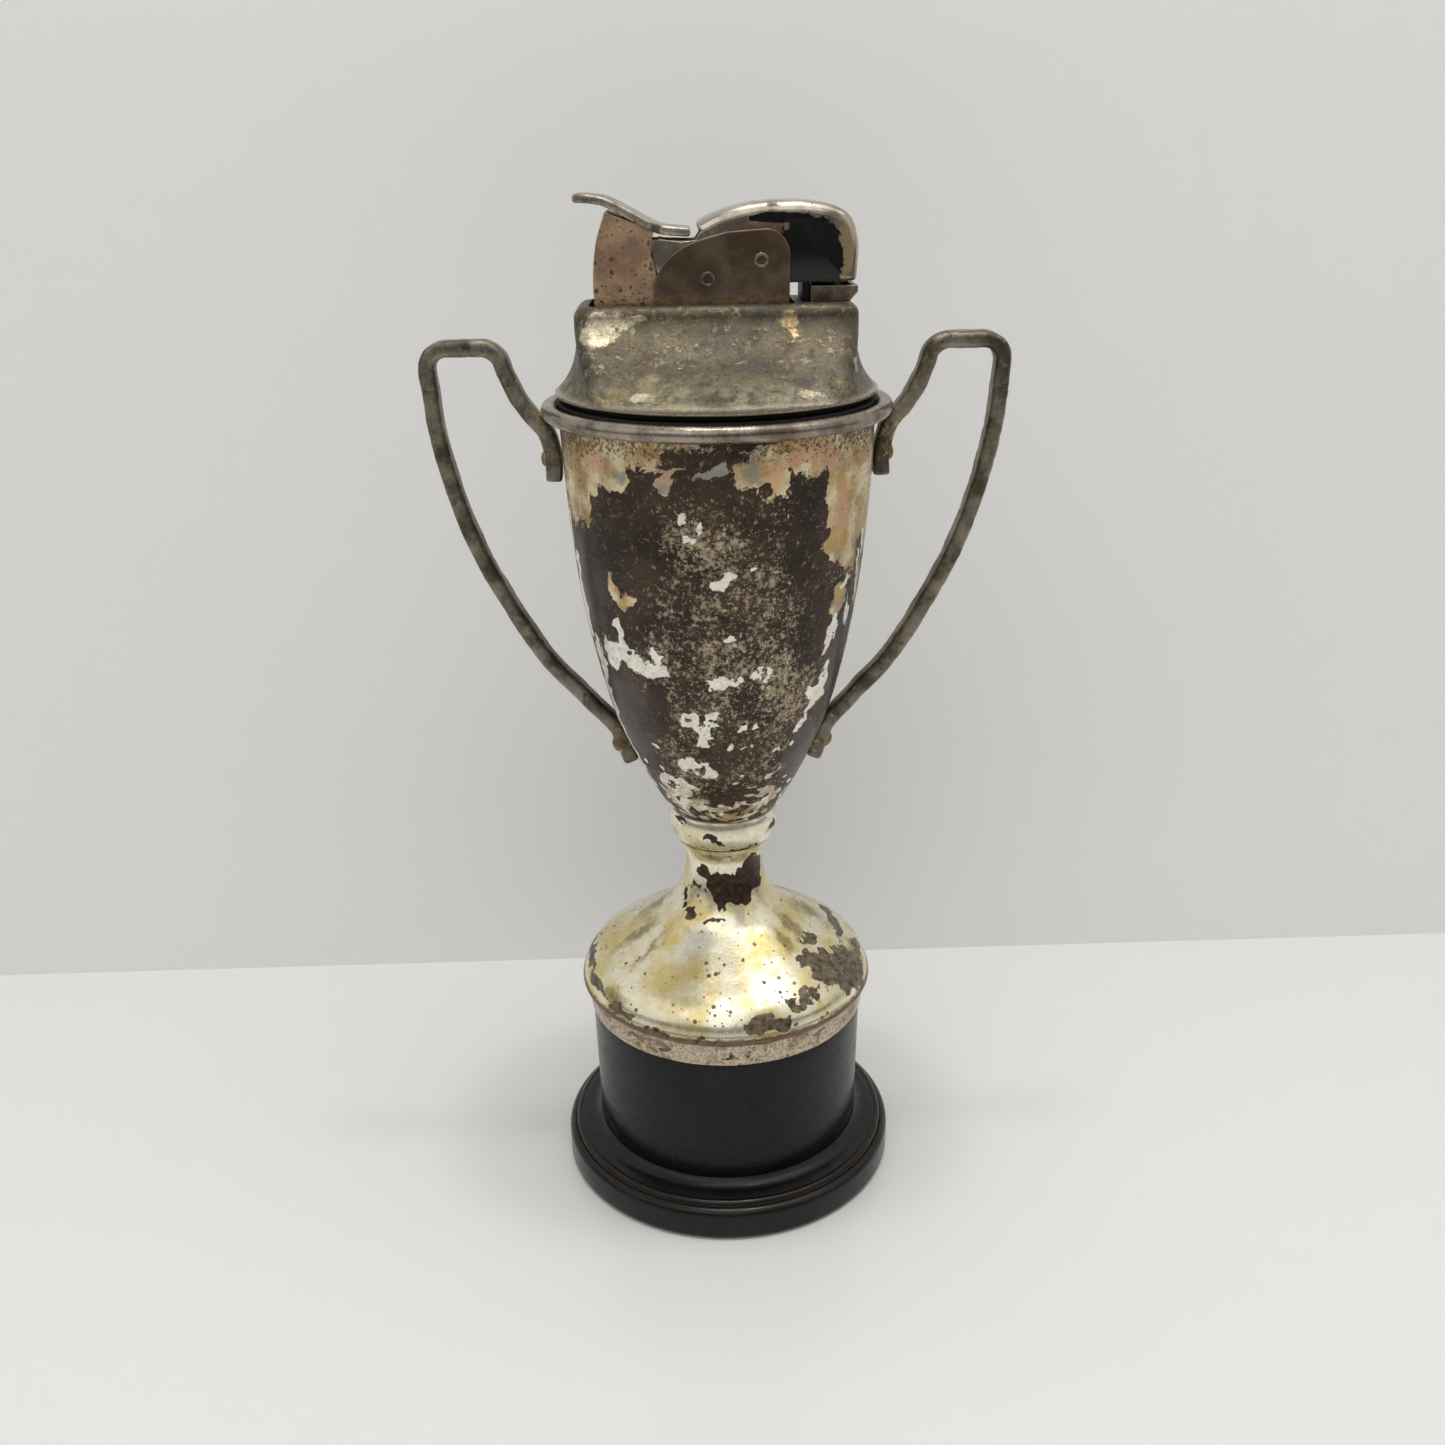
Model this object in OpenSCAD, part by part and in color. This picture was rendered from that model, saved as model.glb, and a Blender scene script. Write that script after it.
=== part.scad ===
// Two-handled trophy cup on a turned base, with a drop-in table lighter in its mouth.
// The origin is the centre of the base's underside. +X runs to the right handle, +Y to the
// back and +Z up. All lengths are in millimetres and all angles in degrees.

/* [Base] */
// Radius of the base plate
plate_r = 27; // [25.8:0.2:30]
// Height of the rounded side of the base plate
plate_side_h = 5.4; // [5:0.1:5.5]
// Height of the base plate's top, where the drum stands
plate_h = 7.6; // [7.2:0.1:7.8]
// Radius of the drum at its foot
drum_foot_r = 21.4; // [21:0.1:21.8]
// Radius of the drum at its top
drum_top_r = 21.9; // [21.7:0.1:22.1]
// Height of the drum's top edge above the table
drum_top_z = 28.9; // [28:0.1:28.9]

/* [Cup] */
// Wall thickness of the spun bowl and foot
cup_wall = 0.8; // [0.6:0.05:0.85]
// Height of the bowl's underside
bowl_z = 60.95; // [60.9:0.05:61]
// Radius of the ring that the rim bead follows
rim_r = 23.75; // [23.7:0.05:23.9]
// Height of the rim bead's centre
rim_z = 124.68; // [124.6:0.02:124.7]
// Radius of the rim bead's round section
bead_r = 1.15; // [1:0.05:1.15]

/* [Handles] */
// Thickness of the handle strap, seen from the front
strap_t = 2.3; // [2:0.1:2.4]
// Width of the handle strap, front to back
strap_w = 3.5; // [3:0.1:4]
// Furthest reach of a handle's centre line from the cup's axis
handle_reach = 40.4; // [40:0.1:42]
// Height of the handle's flat top at its centre line
handle_top_z = 133.2; // [133:0.1:134]

/* [Collar] */
// Radius of the collar's round lower edge
collar_r = 22.7; // [22.5:0.05:22.7]
// Half-length of the collar's rectangular top
collar_half_x = 19.3; // [19.2:0.1:19.8]
// Half-depth of the collar's rectangular top
collar_half_y = 7.6; // [7.5:0.1:8.4]
// Height of the collar's flat top
collar_top_z = 139; // [138.8:0.1:139]
// Sheet thickness of the collar
collar_wall = 0.8; // [0.6:0.05:0.8]

/* [Mechanism] */
// Half-distance between the outer faces of the two side plates
plate_out_y = 5.75; // [5.7:0.05:5.8]
// Thickness of a side plate
plate_t = 0.7; // [0.6:0.05:0.7]
// Radius of both pivot pins
pin_r = 0.8; // [0.7:0.05:0.8]
// Radial running clearance of the moving parts on the pins
pin_gap = 0.04; // [0.02:0.01:0.08]
// Radius of the flint wheel
wheel_r = 3.6; // [3.4:0.05:3.6]
// Number of teeth on the flint wheel
wheel_teeth = 36; // [24:1:44]
// Number of teeth on the ratchet wheel
ratchet_teeth = 12; // [8:1:16]

/* [Tank] */
// Radius of the fuel tank
tank_r = 17; // [16:0.25:17.5]
// Height of the fuel tank's underside
tank_z = 93; // [92:0.5:94]
// Radius of the flint
flint_r = 1.25; // [1.2:0.01:1.27]
// Radius of the wick
wick_r = 1.5; // [1.3:0.05:1.55]

/* [Hidden] */
$fn = 96;

// Clearances and small repeated sizes
hair = 0.03;
gap = 0.05;
slack = 0.1;
cut = 1;
curve_steps = 4;

// Base and tie bolt
felt_r = 24.4;
felt_t = 1.2;
groove_r = 25.9;
bolt_r = 2;
bolt_hole_r = 2.1;
bolt_bay_r = 5.2;
bolt_bay_z = 4.6;
spigot_r = 21.2;
spigot_z = 31.5;
stem_top_z = 57.6;
stem_top_r = 7.4;
ring_top_z = 62.95;
bowl_floor_r = 5.75;
washer_t = 0.8;

// Rim, handles and rivets
lip_z = 125.2;
bowl_top_z = 123.6;
corner_out_r = 2.1;
corner_in_r = 1.9;
rivet_r = 0.8;
rivet_head_r = 1.2;
rivet_head_t = 0.55;
rivet_inner_head_t = 0.4;
rivet_inner_gap = 0.2;

// Each rivet: x and z on the bowl's outer face, its tilt, and the distance out to its dome's seat
upper_rivet = [22.2, 117.6, 0, 2.48];
lower_rivet = [14.1, 74, -22.8, 2.35];

// Collar
collar_roll_r = 0.55;
collar_low_z = 126.55;
collar_edge_r = 1.5;
collar_corner_r = 2.2;
slot_left_x = -17.3;
slot_right_x = 10.6;

// Lighter frame
sleeve_r = 20.75;
sleeve_t = 0.4;
sleeve_z = 112;
seat_z = 125.25;
seat_t = 0.7;
seat_r = 22.4;
cap_z = 126;
cap_t = 0.8;
cap_r = 21.3;
box_half_x = 17.6;
box_half_y = 7;
box_z = 133;
floor_t = 0.7;
plate_in_y = plate_out_y - plate_t;
plate_foot_z = box_z + gap;

// Pivots: the arm's pin is left of the lever's pin
arm_pivot = [-1.1, 142.28];
lever_pivot = [6.09, 144.58];
rivet_hole_r = 0.43;
pin_head_r = 1;

// Layers of the mechanism, as half-distances from the middle plane
skirt_out_y = 4.95;
skirt_t = 0.5;
arm_out_y = 4.35;
arm_t = 0.55;
link_out_y = 3.7;
link_t = 0.5;
pad_half_y = 5.5;
pad_tail_half_y = 3.65;
head_out_y = 4.9;
ratchet_y = -2.1;
pawl_y = -2.15;
lever_spring_x = -12.3;
lever_spring_r = 1.6;

// Wick and flint
wick_x = 15.2;
wick_tube_r = 1.9;
flint_x = lever_pivot[0];
flint_tube_r = 2.1;
flint_bore_r = flint_r + 0.1;
flint_top_z = lever_pivot[1] - wheel_r - gap;
flint_len = 4.5;
follower_len = 1.6;
spring_guide_r = 0.6;
screw_top_z = 99;
filler_x = -8;
filler_r = 2.5;

// ---- Curves and profiles ----

// One point of a smooth curve that passes through b and c
function smooth(a, b, c, d, t) =
    0.5 * (2 * b + (c - a) * t + (2 * a - 5 * b + 4 * c - d) * t * t + (3 * b - a - 3 * c + d) * t * t * t);

// A smooth curve through all the points of p
function curve(p, n = curve_steps) = concat(
    [for (i = [0 : len(p) - 2], k = [0 : n - 1])
        smooth(p[max(i - 1, 0)], p[i], p[i + 1], p[min(i + 2, len(p) - 1)], k / n)],
    [p[len(p) - 1]]
);

// Points of an arc about c, from angle a0 to a1
function arc(c, r, a0, a1, n = 8) =
    [for (k = [0 : n]) let (a = a0 + (a1 - a0) * k / n) c + r * [cos(a), sin(a)]];

function backwards(p) = [for (i = [len(p) - 1 : -1 : 0]) p[i]];

function heading(p, i) =
    let (v = p[min(i + 1, len(p) - 1)] - p[max(i - 1, 0)]) v / norm(v);

// The curve p moved d to its own left
function beside(p, d) =
    [for (i = [0 : len(p) - 1]) let (h = heading(p, i)) p[i] + d * [-h[1], h[0]]];

function mix(a, b, t) = a + (b - a) * t;

foot_curve = curve([
    [22.95, 34.4], [22.4, 36], [20.6, 38], [16.5, 40.6], [12.2, 43.4], [9.2, 45.7],
    [7.2, 48.7], [6.15, 52], [6.15, 55], [stem_top_r, stem_top_z]
], 3);

bowl_curve = curve([
    [6.2, bowl_z], [9.5, 65], [13.25, 72], [16.5, 80], [19.4, 92], [21.15, 104],
    [22.15, 117], [22.4, bowl_top_z]
]);

handle_path = concat(
    curve([
        [13.95, 70.7], [15.2, 73.9], [16.5, 76.7], [20.9, 81.6], [27.2, 89.3], [35.1, 104.5],
        [39.2, 118.8], [handle_reach, handle_top_z - corner_out_r - 0.5]
    ], 3),
    arc([handle_reach - corner_out_r, handle_top_z - corner_out_r], corner_out_r, 0, 90, 5),
    arc([32.1, handle_top_z - corner_in_r], corner_in_r, 90, 155, 4),
    curve([[29.6, 129.8], [28.2, 126.6], [26.4, 123.9], [24.4, 121.4], [23.5, 117.9], [23.5, 114.5]], 3)
);

// ---- Shared shapes ----

module turned(points) {
    rotate_extrude()
        polygon(points);
}

// A flat shape drawn in x and z, standing between y - t/2 and y + t/2
module sheet(points, y, t) {
    translate([0, y, 0])
        rotate([90, 0, 0])
            linear_extrude(height = t, center = true)
                polygon(points);
}

// The same sheet on the front and on the back, with its outer face at out_y
module sheet_pair(points, out_y, t) {
    for (side = [-1, 1])
        sheet(points, side * (out_y - t / 2), t);
}

// A rod or hole along Y through a point given in x and z
module cross_rod(at, r, half_len) {
    translate([at[0], 0, at[1]])
        rotate([90, 0, 0])
            cylinder(r = r, h = 2 * half_len, center = true);
}

module post(x, r, z0, z1) {
    translate([x, 0, z0])
        cylinder(r = r, h = z1 - z0);
}

module slab(x0, x1, half_y, z0, z1) {
    translate([x0, -half_y, z0])
        cube([x1 - x0, 2 * half_y, z1 - z0]);
}

module bowl_envelope(extra) {
    skin = beside(bowl_curve, -extra);
    turned(concat([[0, bowl_z - extra]], skin, [[0, bowl_top_z]]));
}

// ---- Base ----

module felt_pad() {
    color("darkgreen")
        cylinder(r = felt_r, h = felt_t);
}

module base_plate() {
    foot_z = 0.35;
    edge_r = 1.2;
    recess_r = felt_r + 0.3;
    recess_z = felt_t + gap;
    side_top = arc([plate_r - edge_r, plate_side_h - edge_r], edge_r, 0, 75, 5);
    ring = arc([25.1, 5.55], 0.75, 0, 110, 6);
    color([0.09, 0.075, 0.065])
        turned(concat(
            [[bolt_hole_r, bolt_bay_z], [bolt_bay_r, bolt_bay_z], [bolt_bay_r, recess_z],
                [recess_r, recess_z], [recess_r, foot_z], [plate_r - 0.5, foot_z],
                [plate_r, foot_z + 0.5]],
            side_top,
            [[groove_r, plate_side_h - 0.15]],
            ring,
            [[23.4, 6.55], [22.4, 6.9], [21.9, 7.2], [21.6, plate_h], [bolt_hole_r, plate_h]]
        ));
}

module base_drum() {
    foot_z = plate_h + hair;
    web_z = 27.5;
    shell_r = 18.2;
    boss_r = 5;
    color([0.045, 0.06, 0.07])
        turned([
            [bolt_hole_r, foot_z], [boss_r, foot_z], [boss_r, web_z], [shell_r, web_z],
            [shell_r, foot_z], [drum_foot_r, foot_z], [drum_top_r, drum_top_z],
            [spigot_r, drum_top_z], [spigot_r, spigot_z], [bolt_hole_r, spigot_z]
        ]);
}

module tie_bolt() {
    head_z = 1.4;
    head_t = 2.3;
    head_r = 3.6;
    slot_w = 0.8;
    slot_t = 0.9;
    end_z = 66.4;
    color("dimgray")
        difference() {
            union() {
                post(0, head_r, head_z, head_z + head_t);
                post(0, bolt_r, head_z, end_z);
            }
            slab(-head_r - cut, head_r + cut, slot_w / 2, head_z - cut, head_z + slot_t);
        }
}

module washer(r, z) {
    difference() {
        post(0, r, z, z + washer_t);
        post(0, bolt_r + gap, z - cut, z + washer_t + cut);
    }
}

module lower_washer() {
    color("gray")
        washer(bolt_bay_r - 0.4, bolt_bay_z - washer_t - hair);
}

module upper_washer() {
    color("gray")
        washer(4.4, bowl_z + cup_wall + hair);
}

module tie_nut() {
    nut_z = bowl_z + cup_wall + washer_t + 2 * hair;
    nut_t = 3;
    nut_r = 4.04;
    color("gray")
        difference() {
            translate([0, 0, nut_z])
                cylinder(r = nut_r, h = nut_t, $fn = 6);
            post(0, bolt_r + gap, nut_z - cut, nut_z + nut_t + cut);
        }
}

// ---- Cup ----

module foot_stem() {
    band = [[21.45, 29], [22.2, 29], [22.5, 31.2], [23.08, 33.3], [23.05, 33.7]];
    inner = [for (q = backwards(beside(foot_curve, cup_wall))) if (q[1] < stem_top_z - cup_wall) q];
    color([0.80, 0.76, 0.62])
        turned(concat(
            band,
            foot_curve,
            [[bolt_hole_r, stem_top_z], [bolt_hole_r, stem_top_z - cup_wall]],
            inner,
            [[22.2, 33.6], [21.7, 31.2]]
        ));
}

module neck_ring() {
    foot_z = stem_top_z + hair;
    seat = [for (q = backwards(beside(bowl_curve, -gap))) if (q[1] < ring_top_z - 0.2) q];
    color([0.86, 0.83, 0.74])
        turned(concat(
            [[bolt_hole_r, foot_z], [7.1, foot_z], [7.65, 58], [8.2, 59.4], [8.47, 60.5],
                [8.45, 61.6], [8.25, 62.4], [7.98, ring_top_z]],
            seat,
            [[bolt_hole_r, bowl_z - gap]]
        ));
}

module rivet_place(at) {
    translate([at[0], 0, at[1]])
        rotate([0, -at[2], 0])
            rotate([0, 90, 0])
                children();
}

// The shanks' holes, with a flat seat cut for each dome
module rivet_holes() {
    reach = 5;
    for (side = [0, 1], at = [upper_rivet, lower_rivet])
        mirror([side, 0, 0])
            rivet_place(at) {
                translate([0, 0, -reach])
                    cylinder(r = rivet_r + hair, h = 2 * reach);
                translate([0, 0, at[3] - hair])
                    cylinder(r = rivet_head_r + gap, h = reach);
            }
}

module bowl() {
    inner = backwards(beside(bowl_curve, cup_wall));
    lip = [[22.75, 124.2], [rim_r, 124.4], [rim_r, lip_z], [22.3, lip_z], [21.75, 124.6]];
    bowl_inner = [for (q = inner) if (q[1] > bowl_z + cup_wall) q];
    color([0.24, 0.19, 0.16])
        difference() {
            union() {
                turned(concat(
                    [[bolt_hole_r, bowl_z]],
                    bowl_curve,
                    lip,
                    bowl_inner,
                    [[bowl_floor_r, bowl_z + cup_wall], [bolt_hole_r, bowl_z + cup_wall]]
                ));
                rotate_extrude()
                    translate([rim_r, rim_z])
                        circle(r = bead_r, $fn = 32);
            }
            rivet_holes();
        }
}

module right_handle() {
    outline = concat(beside(handle_path, strap_t / 2), backwards(beside(handle_path, -strap_t / 2)));
    color([0.36, 0.33, 0.27])
        difference() {
            sheet(outline, 0, strap_w);
            bowl_envelope(hair);
            rivet_holes();
        }
}

module left_handle() {
    mirror([1, 0, 0])
        right_handle();
}

// A rivet along local +Z: its origin is on the bowl's outer face, and its dome sits at dome_z
module rivet(dome_z) {
    inner_z = -cup_wall - rivet_inner_gap;
    dome = concat([[0, 0], [rivet_head_r, 0]], arc([0, 0], rivet_head_r, 12, 90, 6));
    post(0, rivet_r, inner_z - gap, dome_z + gap);
    post(0, rivet_head_r, inner_z - rivet_inner_head_t, inner_z);
    translate([0, 0, dome_z])
        intersection() {
            turned(dome);
            cylinder(r = rivet_head_r + cut, h = rivet_head_t);
        }
}

module handle_rivets() {
    color([0.55, 0.45, 0.30])
        for (side = [0, 1], at = [upper_rivet, lower_rivet])
            mirror([side, 0, 0])
                rivet_place(at)
                    rivet(at[3]);
}

// ---- Collar ----

// Half-sizes of the collar at height fraction t, 0 at the round edge and 1 below the top edge
function collar_x(t) = mix(collar_r, collar_half_x, 1 - pow(1 - t, 3.2) * (1 - 0.12 * t));
function collar_y(t) = mix(collar_r, collar_half_y, 1 - pow(1 - t, 1.5));

// A rounded rectangle: 4 corners of k points with m points along each side
function rounded_rect(hx, hy, r, k = 6, m = 5) = concat(
    [for (i = [0 : k]) [hx - r, hy - r] + r * [cos(90 * i / k), sin(90 * i / k)]],
    [for (i = [1 : m]) [mix(hx - r, r - hx, i / (m + 1)), hy]],
    [for (i = [0 : k]) [r - hx, hy - r] + r * [-sin(90 * i / k), cos(90 * i / k)]],
    [for (i = [1 : m]) [-hx, mix(hy - r, r - hy, i / (m + 1))]],
    [for (i = [0 : k]) [r - hx, r - hy] + r * [-cos(90 * i / k), -sin(90 * i / k)]],
    [for (i = [1 : m]) [mix(r - hx, hx - r, i / (m + 1)), -hy]],
    [for (i = [0 : k]) [hx - r, r - hy] + r * [sin(90 * i / k), -cos(90 * i / k)]],
    [for (i = [1 : m]) [hx, mix(r - hy, hy - r, i / (m + 1))]]
);

// The collar's outline at half-sizes hx and hy: round at t = 0, rectangular at t = 1
function collar_ring(hx, hy, t, z) =
    let (box = rounded_rect(hx, hy, min(collar_corner_r, hy)))
    [for (q = box)
        let (a = atan2(q[1] / hy, q[0] / hx), e = 1 - pow(1 - t, 2))
        [mix(hx * cos(a), q[0], e), mix(hy * sin(a), q[1], e), z]];

// A closed surface through rings of equal point count, the last ring joined to the first
module ring_loft(rings) {
    n = len(rings[0]);
    m = len(rings);
    points = [for (ring = rings, q = ring) q];
    faces = [for (j = [0 : m - 1], i = [0 : n - 1])
        let (j2 = (j + 1) % m, i2 = (i + 1) % n)
        each [[j * n + i, j2 * n + i, j * n + i2], [j * n + i2, j2 * n + i, j2 * n + i2]]];
    polyhedron(points = points, faces = faces, convexity = 8);
}

module collar() {
    rise = collar_top_z - collar_edge_r - collar_low_z;
    steps = 9;
    roll = [for (a = [150 : 30 : 390])
        collar_ring(collar_r - collar_roll_r + collar_roll_r * cos(a),
            collar_r - collar_roll_r + collar_roll_r * cos(a), 0,
            collar_low_z + collar_roll_r * sin(a))];
    side = [for (i = [1 : steps]) let (t = i / steps)
        collar_ring(collar_x(t), collar_y(t), t, collar_low_z + collar_roll_r + (rise - collar_roll_r) * t)];
    edge = [for (a = [22.5 : 22.5 : 90])
        collar_ring(collar_half_x - collar_edge_r * (1 - cos(a)),
            collar_half_y - collar_edge_r * (1 - cos(a)),
            1, collar_top_z - collar_edge_r + collar_edge_r * sin(a))];
    hole_mid = (slot_left_x + slot_right_x) / 2;
    hole_half = (slot_right_x - slot_left_x) / 2;
    hole = [for (z = [collar_top_z, collar_top_z - collar_wall])
        [for (q = rounded_rect(hole_half, plate_out_y + 0.15, 0.4)) [q[0] + hole_mid, q[1], z]]];
    inner_top = [collar_ring(collar_half_x - collar_edge_r, collar_half_y - collar_edge_r + 0.6, 1,
        collar_top_z - collar_wall)];
    inner = [for (i = [steps : -1 : 1]) let (t = i / steps)
        collar_ring(collar_x(t) - collar_wall, collar_y(t) - collar_wall * 1.15, t,
            collar_low_z + collar_roll_r + (rise - collar_roll_r) * t)];
    color([0.46, 0.44, 0.37])
        difference() {
            ring_loft(concat(roll, side, edge, hole, inner_top, inner));
            post(wick_x, wick_tube_r + gap, collar_top_z - 4, collar_top_z + cut);
        }
}

// ---- Lighter frame and tank ----

module grip_sleeve() {
    slots = 6;
    slot_w = 1.5;
    slot_top_z = 121;
    color("silver")
        difference() {
            turned([
                [sleeve_r - sleeve_t, sleeve_z], [sleeve_r, sleeve_z], [sleeve_r, seat_z],
                [seat_r, seat_z], [seat_r, seat_z + seat_t], [sleeve_r - sleeve_t, seat_z + seat_t]
            ]);
            for (i = [0 : slots - 1])
                rotate([0, 0, (i + 0.5) * 360 / slots])
                    translate([sleeve_r - 3, -slot_w / 2, sleeve_z - cut])
                        cube([6, slot_w, slot_top_z - sleeve_z + cut]);
        }
}

module fuel_tank() {
    wall = 0.5;
    floor_top_z = tank_z + 0.8;
    boss_top_z = tank_z + 3.4;
    color([0.72, 0.70, 0.62])
        difference() {
            union() {
                turned([
                    [0, tank_z], [tank_r - 1, tank_z], [tank_r, tank_z + 1],
                    [tank_r, cap_z - hair], [tank_r - wall, cap_z - hair], [tank_r - wall, floor_top_z],
                    [0, floor_top_z]
                ]);
                post(filler_x, filler_r + 1.2, tank_z, boss_top_z);
            }
            post(filler_x, filler_r + gap, tank_z - cut, boss_top_z + cut);
            post(flint_x, flint_tube_r + gap, tank_z - cut, floor_top_z + cut);
        }
}

module cap_box(half_x, half_y, r, z0, z1) {
    translate([0, 0, z0])
        linear_extrude(height = z1 - z0)
            polygon(rounded_rect(half_x, half_y, r, 6, 0));
}

module tank_cap() {
    color([0.70, 0.66, 0.55])
        difference() {
            union() {
                post(0, cap_r, cap_z, cap_z + cap_t);
                cap_box(box_half_x, box_half_y, 2.5, cap_z + cap_t / 2, box_z);
            }
            cap_box(box_half_x - cap_t, box_half_y - cap_t, 1.7, cap_z - cut, box_z - cap_t);
            post(flint_x, flint_tube_r + gap, box_z - cut - cap_t, box_z + cut);
            post(wick_x - 0.6, wick_r + 0.2, box_z - cut - cap_t, box_z + cut);
        }
}

module frame_floor() {
    left_x = -8.2;
    right_x = 9.2;
    color("gray")
        difference() {
            slab(left_x, right_x, plate_in_y - hair, box_z + gap, box_z + gap + floor_t);
            post(flint_x, flint_tube_r + gap, box_z, box_z + 2);
        }
}

side_plate_outline = concat(
    [[9.5, plate_foot_z], [9.9, 139.8]],
    arc([6.5, 145.15], 3.5, 0, 82, 7),
    backwards(curve([[-8.3, 139.5], [-8.2, 142], [-6.6, 144.7], [-3.4, 146.85], [1.5, 148.25]], 3)),
    [[-8, plate_foot_z]]
);

module side_plate(side) {
    difference() {
        sheet(side_plate_outline, side * (plate_out_y - plate_t / 2), plate_t);
        cross_rod(arm_pivot, pin_r + gap, 10);
        cross_rod(lever_pivot, pin_r + gap, 10);
    }
}

module front_side_plate() {
    color([0.38, 0.33, 0.28])
        side_plate(-1);
}

module rear_side_plate() {
    color([0.38, 0.33, 0.28])
        side_plate(1);
}

// A tubular rivet with a flange outside each side plate
module tube_pin(at) {
    head_t = 0.22;
    half_len = plate_out_y + hair + head_t;
    difference() {
        union() {
            cross_rod(at, pin_r, half_len);
            for (side = [-1, 1])
                translate([0, side * (half_len - head_t / 2), 0])
                    cross_rod(at, pin_head_r, head_t / 2);
        }
        cross_rod(at, rivet_hole_r, half_len + cut);
    }
}

module lever_pin() {
    color([0.50, 0.46, 0.40])
        tube_pin(lever_pivot);
}

module arm_pin() {
    color([0.50, 0.46, 0.40])
        tube_pin(arm_pivot);
}

// ---- Wick ----

module wick_tube() {
    foot_z = box_z + gap;
    top_z = 141.3;
    flange_t = 0.5;
    flange_half_y = 2.6;
    color([0.62, 0.55, 0.38])
        difference() {
            union() {
                post(wick_x, wick_tube_r, foot_z, top_z);
                slab(wick_x - 2.7, wick_x + 2.2, flange_half_y, foot_z, foot_z + flange_t);
            }
            post(wick_x, wick_r + slack, foot_z - cut, top_z + cut);
        }
}

module wick() {
    top_z = 143.2;
    color([0.80, 0.76, 0.66])
        post(wick_x, wick_r, box_z + 2 * gap, top_z);
}

module wick_cup() {
    left_x = 12.8;
    right_x = 19.25;
    half_y = 4.6;
    top_z = 141.1;
    foot_z = collar_top_z + hair;
    rim_t = 0.7;
    outline = [[left_x, foot_z], [right_x - 1.05, foot_z], [right_x, 140.2], [right_x, top_z],
        [left_x, top_z]];
    color([0.42, 0.37, 0.33])
        difference() {
            sheet(outline, 0, 2 * half_y);
            slab(left_x + rim_t, right_x - rim_t, half_y - rim_t, top_z - 0.8, top_z + cut);
            post(wick_x, wick_tube_r + gap, foot_z - cut, top_z + cut);
        }
}

module wick_shield() {
    left_x = 11.3;
    right_x = 12.75;
    half_y = 4.4;
    top_z = 141.45;
    color([0.03, 0.03, 0.03])
        slab(left_x, right_x, half_y, collar_top_z + hair, top_z);
}

module cotton_packing() {
    foot_z = tank_z + 3.6;
    top_z = cap_z - 2;
    color([0.93, 0.92, 0.88])
        difference() {
            post(0, tank_r - 0.7, foot_z, top_z);
            post(flint_x, flint_tube_r + slack, tank_z, cap_z);
        }
}

// ---- Flint and filler ----

module flint_tube() {
    color([0.70, 0.60, 0.35])
        difference() {
            post(flint_x, flint_tube_r, tank_z - 0.4, flint_top_z - 0.3);
            post(flint_x, flint_bore_r, tank_z - cut, flint_top_z + cut);
        }
}

module flint() {
    color([0.30, 0.30, 0.32])
        post(flint_x, flint_r, flint_top_z - flint_len, flint_top_z);
}

module flint_follower() {
    top_z = flint_top_z - flint_len - hair;
    color([0.70, 0.60, 0.35]) {
        post(flint_x, flint_r, top_z - follower_len / 2, top_z);
        post(flint_x, spring_guide_r, top_z - follower_len, top_z - follower_len / 2);
    }
}

module flint_screw() {
    head_z = 91.2;
    head_top_z = tank_z - 0.45;
    head_r = 2.4;
    slot_w = 0.6;
    slot_t = 0.6;
    color([0.70, 0.60, 0.35])
        difference() {
            union() {
                post(flint_x, head_r, head_z, head_top_z);
                post(flint_x, flint_bore_r - gap, head_z, screw_top_z - 0.6);
                post(flint_x, spring_guide_r, head_z, screw_top_z);
            }
            slab(flint_x - head_r - cut, flint_x + head_r + cut, slot_w / 2, head_z - cut, head_z + slot_t);
        }
}

module filler_screw() {
    head_z = 90.9;
    head_t = 1.4;
    head_r = 3.6;
    slot_w = 1;
    slot_t = 0.7;
    color([0.70, 0.60, 0.35])
        difference() {
            union() {
                post(filler_x, head_r, head_z, head_z + head_t);
                post(filler_x, filler_r, head_z, tank_z + 3.2);
            }
            slab(filler_x - head_r - cut, filler_x + head_r + cut, slot_w / 2, head_z - cut, head_z + slot_t);
        }
}

module filler_gasket() {
    color([0.12, 0.10, 0.09])
        difference() {
            post(filler_x, filler_r + 0.9, 92.35, tank_z - hair);
            post(filler_x, filler_r + gap, 92, tank_z + cut);
        }
}

// ---- Springs ----

// One point of a wire's skin: w is the angle round the wire, a the angle round the coil
function coil_point(r, wire_r, a, z, w) =
    [(r + wire_r * cos(w)) * cos(a), (r + wire_r * cos(w)) * sin(a), z + wire_r * sin(w)];

// A coil spring along Z with closed ends, its skin worked out as a tube of triangles
module coil(r, wire_r, z0, z1, turns, sides = 6, per_turn = 16) {
    n = turns * per_turn;
    skin = [for (i = [0 : n], s = [0 : sides - 1])
        let (z = mix(z0 + wire_r, z1 - wire_r, i / n))
        coil_point(r, wire_r, 360 * i / per_turn, z, 360 * s / sides)];
    walls = [for (i = [0 : n - 1], s = [0 : sides - 1])
        let (a = i * sides + s, b = i * sides + (s + 1) % sides)
        each [[a, b, a + sides], [b, b + sides, a + sides]]];
    ends = [[for (s = [sides - 1 : -1 : 0]) s], [for (s = [0 : sides - 1]) n * sides + s]];
    polyhedron(points = skin, faces = concat(walls, ends), convexity = 10);
}

module flint_spring() {
    z0 = screw_top_z + gap;
    z1 = flint_top_z - flint_len - follower_len - 2 * hair;
    color("gainsboro")
        translate([flint_x, 0, 0])
            coil(0.95, 0.18, z0, z1, 13, 5, 12);
}

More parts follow.
